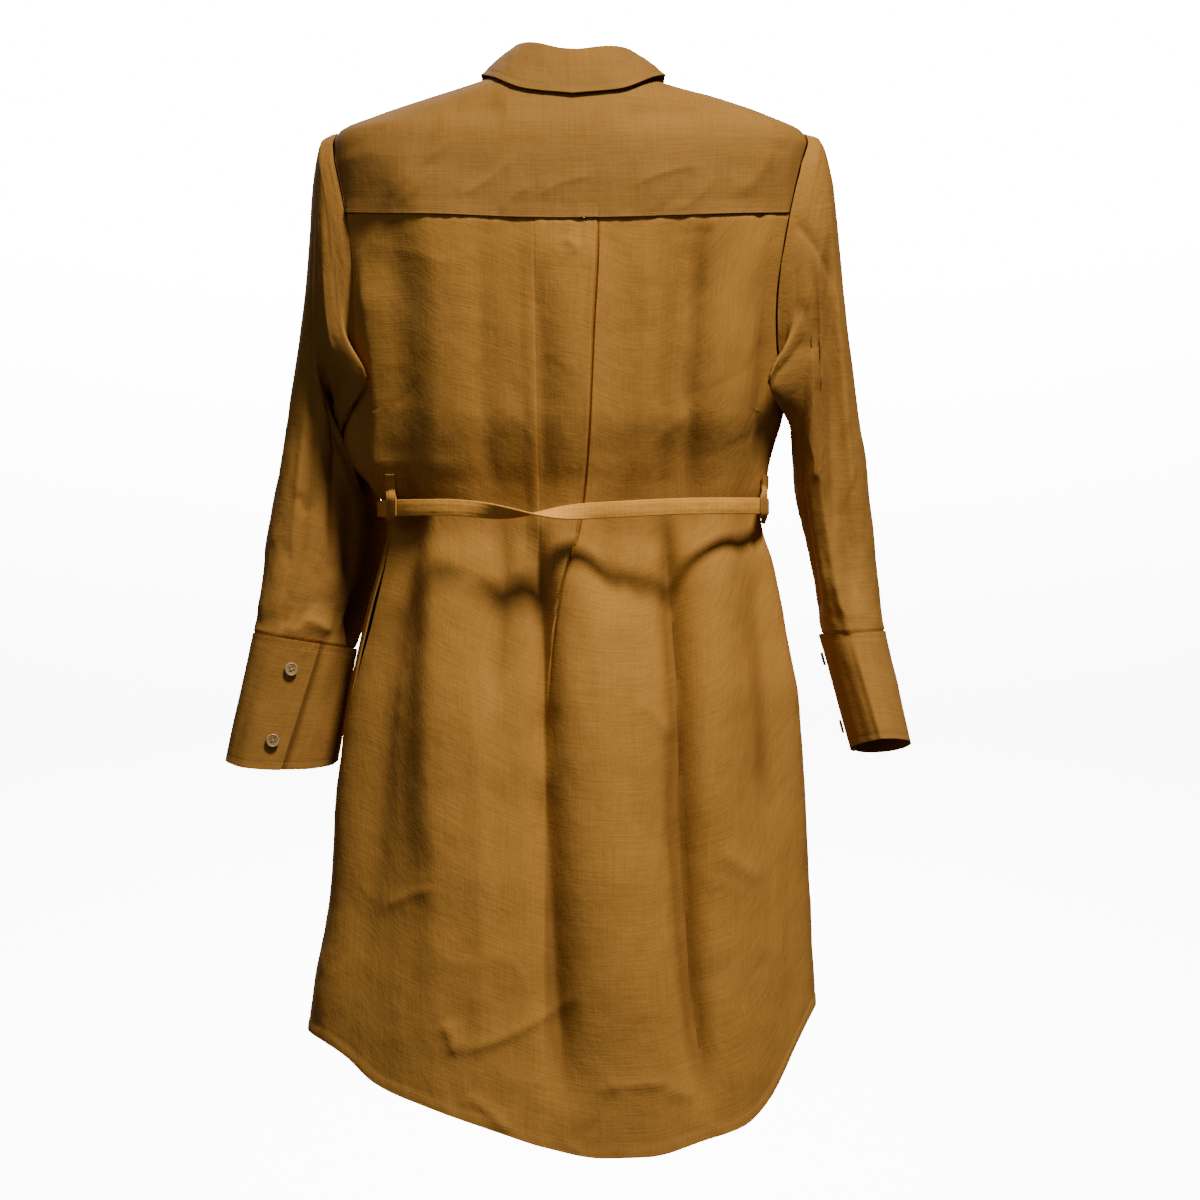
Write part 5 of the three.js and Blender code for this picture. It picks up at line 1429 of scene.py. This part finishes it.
def buttonPoints(look):
    radius, thick = look["radius"], look["thickness"]
    share = np.linspace(0, 1, look["rings"])[1:]
    turn = np.linspace(0, 2 * math.pi, look["around"], endpoint=False)
    r = (share * radius * 0.985)[:, None]
    x, y = r * np.cos(turn), r * np.sin(turn)
    height = look["dish"] + look["rim"] * smooth(0.66, 0.82, share)
    height = height - look["edge"] * smooth(0.9, 1.0, share) ** 2
    dish = thick * height[:, None] + 0 * x
    inHole, pastHole = look["holeRadius"] * 0.75, look["holeRadius"] * 1.15
    for i in range(look["holes"]):
        at = math.pi / 4 + i * math.pi / 2
        away = np.hypot(x - look["holeOut"] * math.cos(at), y - look["holeOut"] * math.sin(at))
        dish = dish - look["holeDepth"] * (1 - smooth(inHole, pastHole, away))
    top = np.stack([x, y, dish], -1)
    under = []
    for share, level in ((1.0, 0.5), (0.99, 0.2), (0.9, 0.02), (0.5, 0.0)):
        x, y = radius * share * np.cos(turn), radius * share * np.sin(turn)
        under.append(np.stack([x, y, np.full(turn.shape, thick * level)], -1))
    rings = np.concatenate([top, np.array(under)])
    return rings, np.array([0, 0, thick * look["dish"]])


def buttonMesh(name, matrix, look):
    rings, centre = buttonPoints(look)
    rows, columns = rings.shape[:2]
    index = np.arange(rows * columns).reshape(rows, columns)
    quads = ringQuads(index)[:, [0, 3, 2, 1]]
    points = np.concatenate([rings.reshape(-1, 3), centre[None], np.zeros((1, 3))])
    middle, under = len(points) - 2, len(points) - 1
    caps = []
    for i in range(0, columns, 2):
        a, b, c = i, (i + 1) % columns, (i + 2) % columns
        caps.append([middle, index[0, a], index[0, b], index[0, c]])
        caps.append([under, index[-1, c], index[-1, b], index[-1, a]])
    points = points @ matrix[:, :3].T + matrix[:, 3]
    return meshFrom(name, points, np.concatenate([quads, np.array(caps)]), None, None, horn, 62)


def crossThreads(name, matrix, look):  # two stitched bars that cross between the four holes
    bars, faces = [], []
    sides, sections, radius = look["threadSides"], look["threadSections"], look["threadRadius"]
    for i in range(2):
        at = math.pi / 4 + i * math.pi / 2
        along = np.array([math.cos(at), math.sin(at), 0])
        side = np.array([-math.sin(at), math.cos(at), 0])
        for strand in (-look["threadApart"], look["threadApart"]):
            start = len(bars)
            for t in np.linspace(-1, 1, sections):
                arch = look["archFoot"] + look["archRise"] * math.sqrt(max(0, 1 - t * t))
                arch += look["secondBar"] * i
                centre = along * t * look["holeOut"] + side * strand
                height = look["thickness"] * look["threadSeat"] - look["threadSunk"] + arch
                for k in range(sides):
                    a = 2 * math.pi * k / sides
                    lift = np.array([0, 0, height + radius * math.sin(a)])
                    bars.append(centre + side * radius * math.cos(a) + lift)
            for j in range(sections - 1):
                for k in range(sides):
                    a, b = start + j * sides + k, start + j * sides + (k + 1) % sides
                    faces.append([a, b, b + sides, a + sides])
            last = start + sides * (sections - 1)
            faces += [[start, start + 3, start + 2, start + 1], [start, start + 5, start + 4, start + 3]]
            faces += [[last, last + 1, last + 2, last + 3], [last, last + 3, last + 4, last + 5]]
    points = np.array(bars) @ matrix[:, :3].T + matrix[:, 3]
    return meshFrom(name, points, faces, None, None, thread, 80)


def nodeSeat(nodeName):  # the place and outward way of a button's solid, from its own mesh
    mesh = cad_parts[nodeName].data
    points = np.array([v.co[:] for v in mesh.vertices]) / mm
    faces = np.array([list(p.vertices)[:3] for p in mesh.polygons])
    areas = np.array([p.area for p in mesh.polygons])
    normals = np.array([p.normal[:] for p in mesh.polygons])
    rounded = np.round(normals, 3)
    best, total = None, -1
    for way in np.unique(rounded, axis=0):
        match = (rounded == way).all(1)
        if areas[match].sum() > total:
            best, total = way, areas[match].sum()
    inward = best / np.linalg.norm(best)
    base = points[np.unique(faces[(rounded == best).all(1)])]
    return base.mean(0), -inward


def makeButtons(look):
    rng = np.random.default_rng(77)
    names = [f"front_button_{i}" for i in range(1, 9)] + ["stand_button"]
    names += [f"cuff_button_{side}_{i}" for side in ("left", "right") for i in (1, 2)]
    for name in names:
        seat, way = nodeSeat(name)
        helper = np.array([0, 0, 1.0]) if abs(way[2]) < 0.9 else np.array([1.0, 0, 0])
        across = np.cross(helper, way)
        across /= np.linalg.norm(across)
        up = np.cross(way, across)
        spin = rng.uniform(-0.5, 0.5)
        c, s = math.cos(spin), math.sin(spin)
        matrix = np.stack([across * c + up * s, up * c - across * s, way, seat], 1)
        words = "".join(word.title() for word in name.split("_"))
        piece = buttonMesh(f"horn{words}", matrix, look)
        dress(piece, [name])
        bar = crossThreads(f"thread{words}", matrix, look)
        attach(bar, rootBody)


makeButtons(buttonLook)
print("buttons made")


# Topstitching: a node tree lays short stitches along each seam line

stitchLook = {
    "pitch": 0.0030, "length": 0.0021, "thickness": 0.00032, "seed": 5, "leastSize": 0.85, "mostSize": 1.12,
    "overYokeSeam": 2.4, "yokeFrom": 30, "yokeColumns": 188,
}


def stitchTree(look):
    tree = bpy.data.node_groups.new("layStitches", "GeometryNodeTree")
    face = tree.interface
    face.new_socket("Geometry", in_out="INPUT", socket_type="NodeSocketGeometry")
    for name, value in (("Pitch", look["pitch"]), ("Stitch length", look["length"]),
                        ("Thickness", look["thickness"])):
        face.new_socket(name, in_out="INPUT", socket_type="NodeSocketFloat").default_value = value
    face.new_socket("Seed", in_out="INPUT", socket_type="NodeSocketInt").default_value = look["seed"]
    face.new_socket("Thread", in_out="INPUT", socket_type="NodeSocketMaterial")
    face.new_socket("Geometry", in_out="OUTPUT", socket_type="NodeSocketGeometry")
    make, link = tree.nodes.new, tree.links.new
    given, result = make("NodeGroupInput"), make("NodeGroupOutput")
    curve = make("GeometryNodeMeshToCurve")
    link(given.outputs["Geometry"], curve.inputs["Mesh"])
    resample = make("GeometryNodeResampleCurve")
    resample.mode = "LENGTH"
    link(curve.outputs[0], resample.inputs["Curve"])
    link(given.outputs["Pitch"], resample.inputs["Length"])
    tangent = make("GeometryNodeInputTangent")
    align = make("FunctionNodeAlignRotationToVector")
    align.axis = "X"
    link(tangent.outputs[0], align.inputs["Vector"])
    bead = make("GeometryNodeMeshUVSphere")
    bead.inputs["Segments"].default_value = 6
    bead.inputs["Rings"].default_value = 4
    bead.inputs["Radius"].default_value = 0.5
    size = make("ShaderNodeCombineXYZ")
    link(given.outputs["Stitch length"], size.inputs[0])
    link(given.outputs["Thickness"], size.inputs[1])
    link(given.outputs["Thickness"], size.inputs[2])
    stitch = make("GeometryNodeTransform")
    link(bead.outputs["Mesh"], stitch.inputs["Geometry"])
    link(size.outputs[0], stitch.inputs["Scale"])
    spread = make("FunctionNodeRandomValue")
    spread.data_type = "FLOAT"
    spread.inputs[2].default_value, spread.inputs[3].default_value = look["leastSize"], look["mostSize"]
    link(given.outputs["Seed"], spread.inputs["Seed"])
    place = make("GeometryNodeInstanceOnPoints")
    link(resample.outputs[0], place.inputs["Points"])
    link(stitch.outputs[0], place.inputs["Instance"])
    link(align.outputs[0], place.inputs["Rotation"])
    link(spread.outputs[1], place.inputs["Scale"])
    real = make("GeometryNodeRealizeInstances")
    link(place.outputs[0], real.inputs[0])
    colour = make("GeometryNodeSetMaterial")
    link(real.outputs[0], colour.inputs["Geometry"])
    link(given.outputs["Thread"], colour.inputs["Material"])
    link(colour.outputs[0], result.inputs["Geometry"])
    return tree


stitches = stitchTree(stitchLook)


def sewLines(name, lines):  # each line is a row of points in millimetres
    points = np.concatenate(lines) * mm
    edges, start = [], 0
    for line in lines:
        edges += [(start + i, start + i + 1) for i in range(len(line) - 1)]
        start += len(line)
    mesh = bpy.data.meshes.new(name + "Path")
    mesh.from_pydata(points.tolist(), edges, [])
    path = addObject(name + "Path", mesh)
    modifier = path.modifiers.new("stitches", "NODES")
    modifier.node_group = stitches
    for item in stitches.interface.items_tree:
        if item.item_type == "SOCKET" and item.in_out == "INPUT" and item.name == "Thread":
            modifier[item.identifier] = thread
    bpy.context.view_layer.update()
    graph = bpy.context.evaluated_depsgraph_get()
    sewn = bpy.data.meshes.new_from_object(path.evaluated_get(graph))
    bpy.data.objects.remove(path)
    piece = addObject(name, sewn)
    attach(piece, rootBody)


def lineOn(grid, rowShare=None, columnShare=None, inset=0.12):
    rows, columns = grid.shape[:2]
    lifted = grid + gridNormals(grid) * inset
    if rowShare is not None:
        return lifted[int(round(rowShare * (rows - 1)))]
    return lifted[:, int(round(columnShare * (columns - 1)))]


def levelLine(grid, height, inset=0.12):  # the line on a grid that lies a set way above its lowest row
    lifted = grid + gridNormals(grid) * inset
    down = np.concatenate([np.zeros((1, grid.shape[1])),
                           np.cumsum(np.linalg.norm(np.diff(grid, axis=0), axis=-1), axis=0)])
    picked = []
    for column in range(grid.shape[1]):
        row = np.interp(height, down[:, column], np.arange(grid.shape[0]))
        low = int(row)
        high = min(low + 1, grid.shape[0] - 1)
        picked.append(lerp(lifted[low, column], lifted[high, column], row - low))
    return np.array(picked)


yokeLine = levelLine(yokeGrid, stitchLook["overYokeSeam"])
backColumns = slice(stitchLook["yokeFrom"], stitchLook["yokeFrom"] + stitchLook["yokeColumns"])
hemmed = (backGrid, frontLeftGrid, frontRightGrid)
cuffed = (cuffLeftGrid, cuffRightGrid)
sewLines("stitchYoke", [yokeLine[backColumns]])
sewLines("stitchHem", [levelLine(grid, panelLook["hemFold"] - 1) for grid in hemmed])
sewLines("stitchPlacket", [lineOn(placketGrid, columnShare=share) for share in (0.12, 0.88)])
sewLines("stitchCollar", [lineOn(collarGrid, rowShare=0.14)])
sewLines("stitchCuffs", [lineOn(grid, rowShare=share) for grid in cuffed for share in (0.05, 0.95)])
print("stitches made")

for piece, flat, area in sheets.values():
    area or flat[0] * flat[1]

# Studio: a pale floor that curves up into a wall, and its lights

studio = {
    "floorZ": -1.9, "floorY": -7.0, "wallY": 6.6, "wallTop": 5.0, "curve": 1.2, "curveSteps": 24, "half": 7.0,
    "paper": (0.93, 0.93, 0.93, 1), "roughness": 0.9,
}


def makeStage(look):
    path = [(look["floorY"], look["floorZ"])]
    for t in np.linspace(0, math.pi / 2, look["curveSteps"]):
        path.append((look["wallY"] - look["curve"] + look["curve"] * math.sin(t),
                     look["floorZ"] + look["curve"] * (1 - math.cos(t))))
    path.append((look["wallY"], look["wallTop"]))
    points, faces = [], []
    for y, z in path:
        points += [(-look["half"], y, z), (look["half"], y, z)]
    for i in range(len(path) - 1):
        faces.append((2 * i, 2 * i + 1, 2 * i + 3, 2 * i + 2))
    mesh = bpy.data.meshes.new("paleSweep")
    mesh.from_pydata(points, [], faces)
    for polygon in mesh.polygons:
        polygon.use_smooth = True
    sweep = addObject("paleSweep", mesh)
    finish = Finish("palePaper")
    mesh.materials.append(finish.close(**{"Base Color": look["paper"], "Roughness": look["roughness"]}))
    sweep.visible_diffuse = sweep.visible_glossy = False  # its glow doesn't fill the folds


lights = {
    "keyPlace": (0.84, -1.40, 2.35), "keyAim": (0.0, -0.14, -0.54), "keyPower": 745, "keyRadius": 0.3,
    "keyCone": 30, "keyBlend": 1.0, "keyColour": (1.0, 0.97, 0.9),
    "fillPlace": (-1.7, -3.4, 1.0), "fillAim": (0, 0, -0.45), "fillPower": 10, "fillSize": 1.6,
    "wallPlace": (0, 4.6, 2.2), "wallAim": (0, 6.6, -0.7), "wallPower": 3300, "wallSize": (6.0, 0.6),
    "frontPlace": (-1.0, 2.6, 1.5), "frontAim": (0, 0, -0.5), "frontPower": 60, "frontSize": 1.2,
    "room": 0.06,
}


def placeLamp(name, light, place, target):
    lamp = addObject(name, light)
    lamp.location = place
    lamp.rotation_euler = (Vector(target) - Vector(place)).to_track_quat("-Z", "Y").to_euler()


def makeLights(look):
    key = bpy.data.lights.new("keyLight", "SPOT")
    key.energy, key.color, key.shadow_soft_size = look["keyPower"], look["keyColour"], look["keyRadius"]
    key.spot_size, key.spot_blend = math.radians(look["keyCone"]), look["keyBlend"]
    placeLamp("keyLight", key, look["keyPlace"], look["keyAim"])
    fill = bpy.data.lights.new("fillLight", "AREA")
    fill.energy, fill.size = look["fillPower"], look["fillSize"]
    placeLamp("fillLight", fill, look["fillPlace"], look["fillAim"])
    wall = bpy.data.lights.new("wallLight", "AREA")
    wall.shape, wall.size, wall.size_y = "RECTANGLE", *look["wallSize"]
    wall.energy = look["wallPower"]
    placeLamp("wallLight", wall, look["wallPlace"], look["wallAim"])
    front = bpy.data.lights.new("frontLight", "AREA")
    front.energy, front.size = look["frontPower"], look["frontSize"]
    placeLamp("frontLight", front, look["frontPlace"], look["frontAim"])
    world = bpy.data.worlds.new("softRoom")
    world.use_nodes = True
    world.node_tree.nodes["Background"].inputs[0].default_value = (1, 1, 1, 1)
    world.node_tree.nodes["Background"].inputs[1].default_value = look["room"]
    bpy.context.scene.world = world


makeStage(studio)
makeLights(lights)
print("studio made")
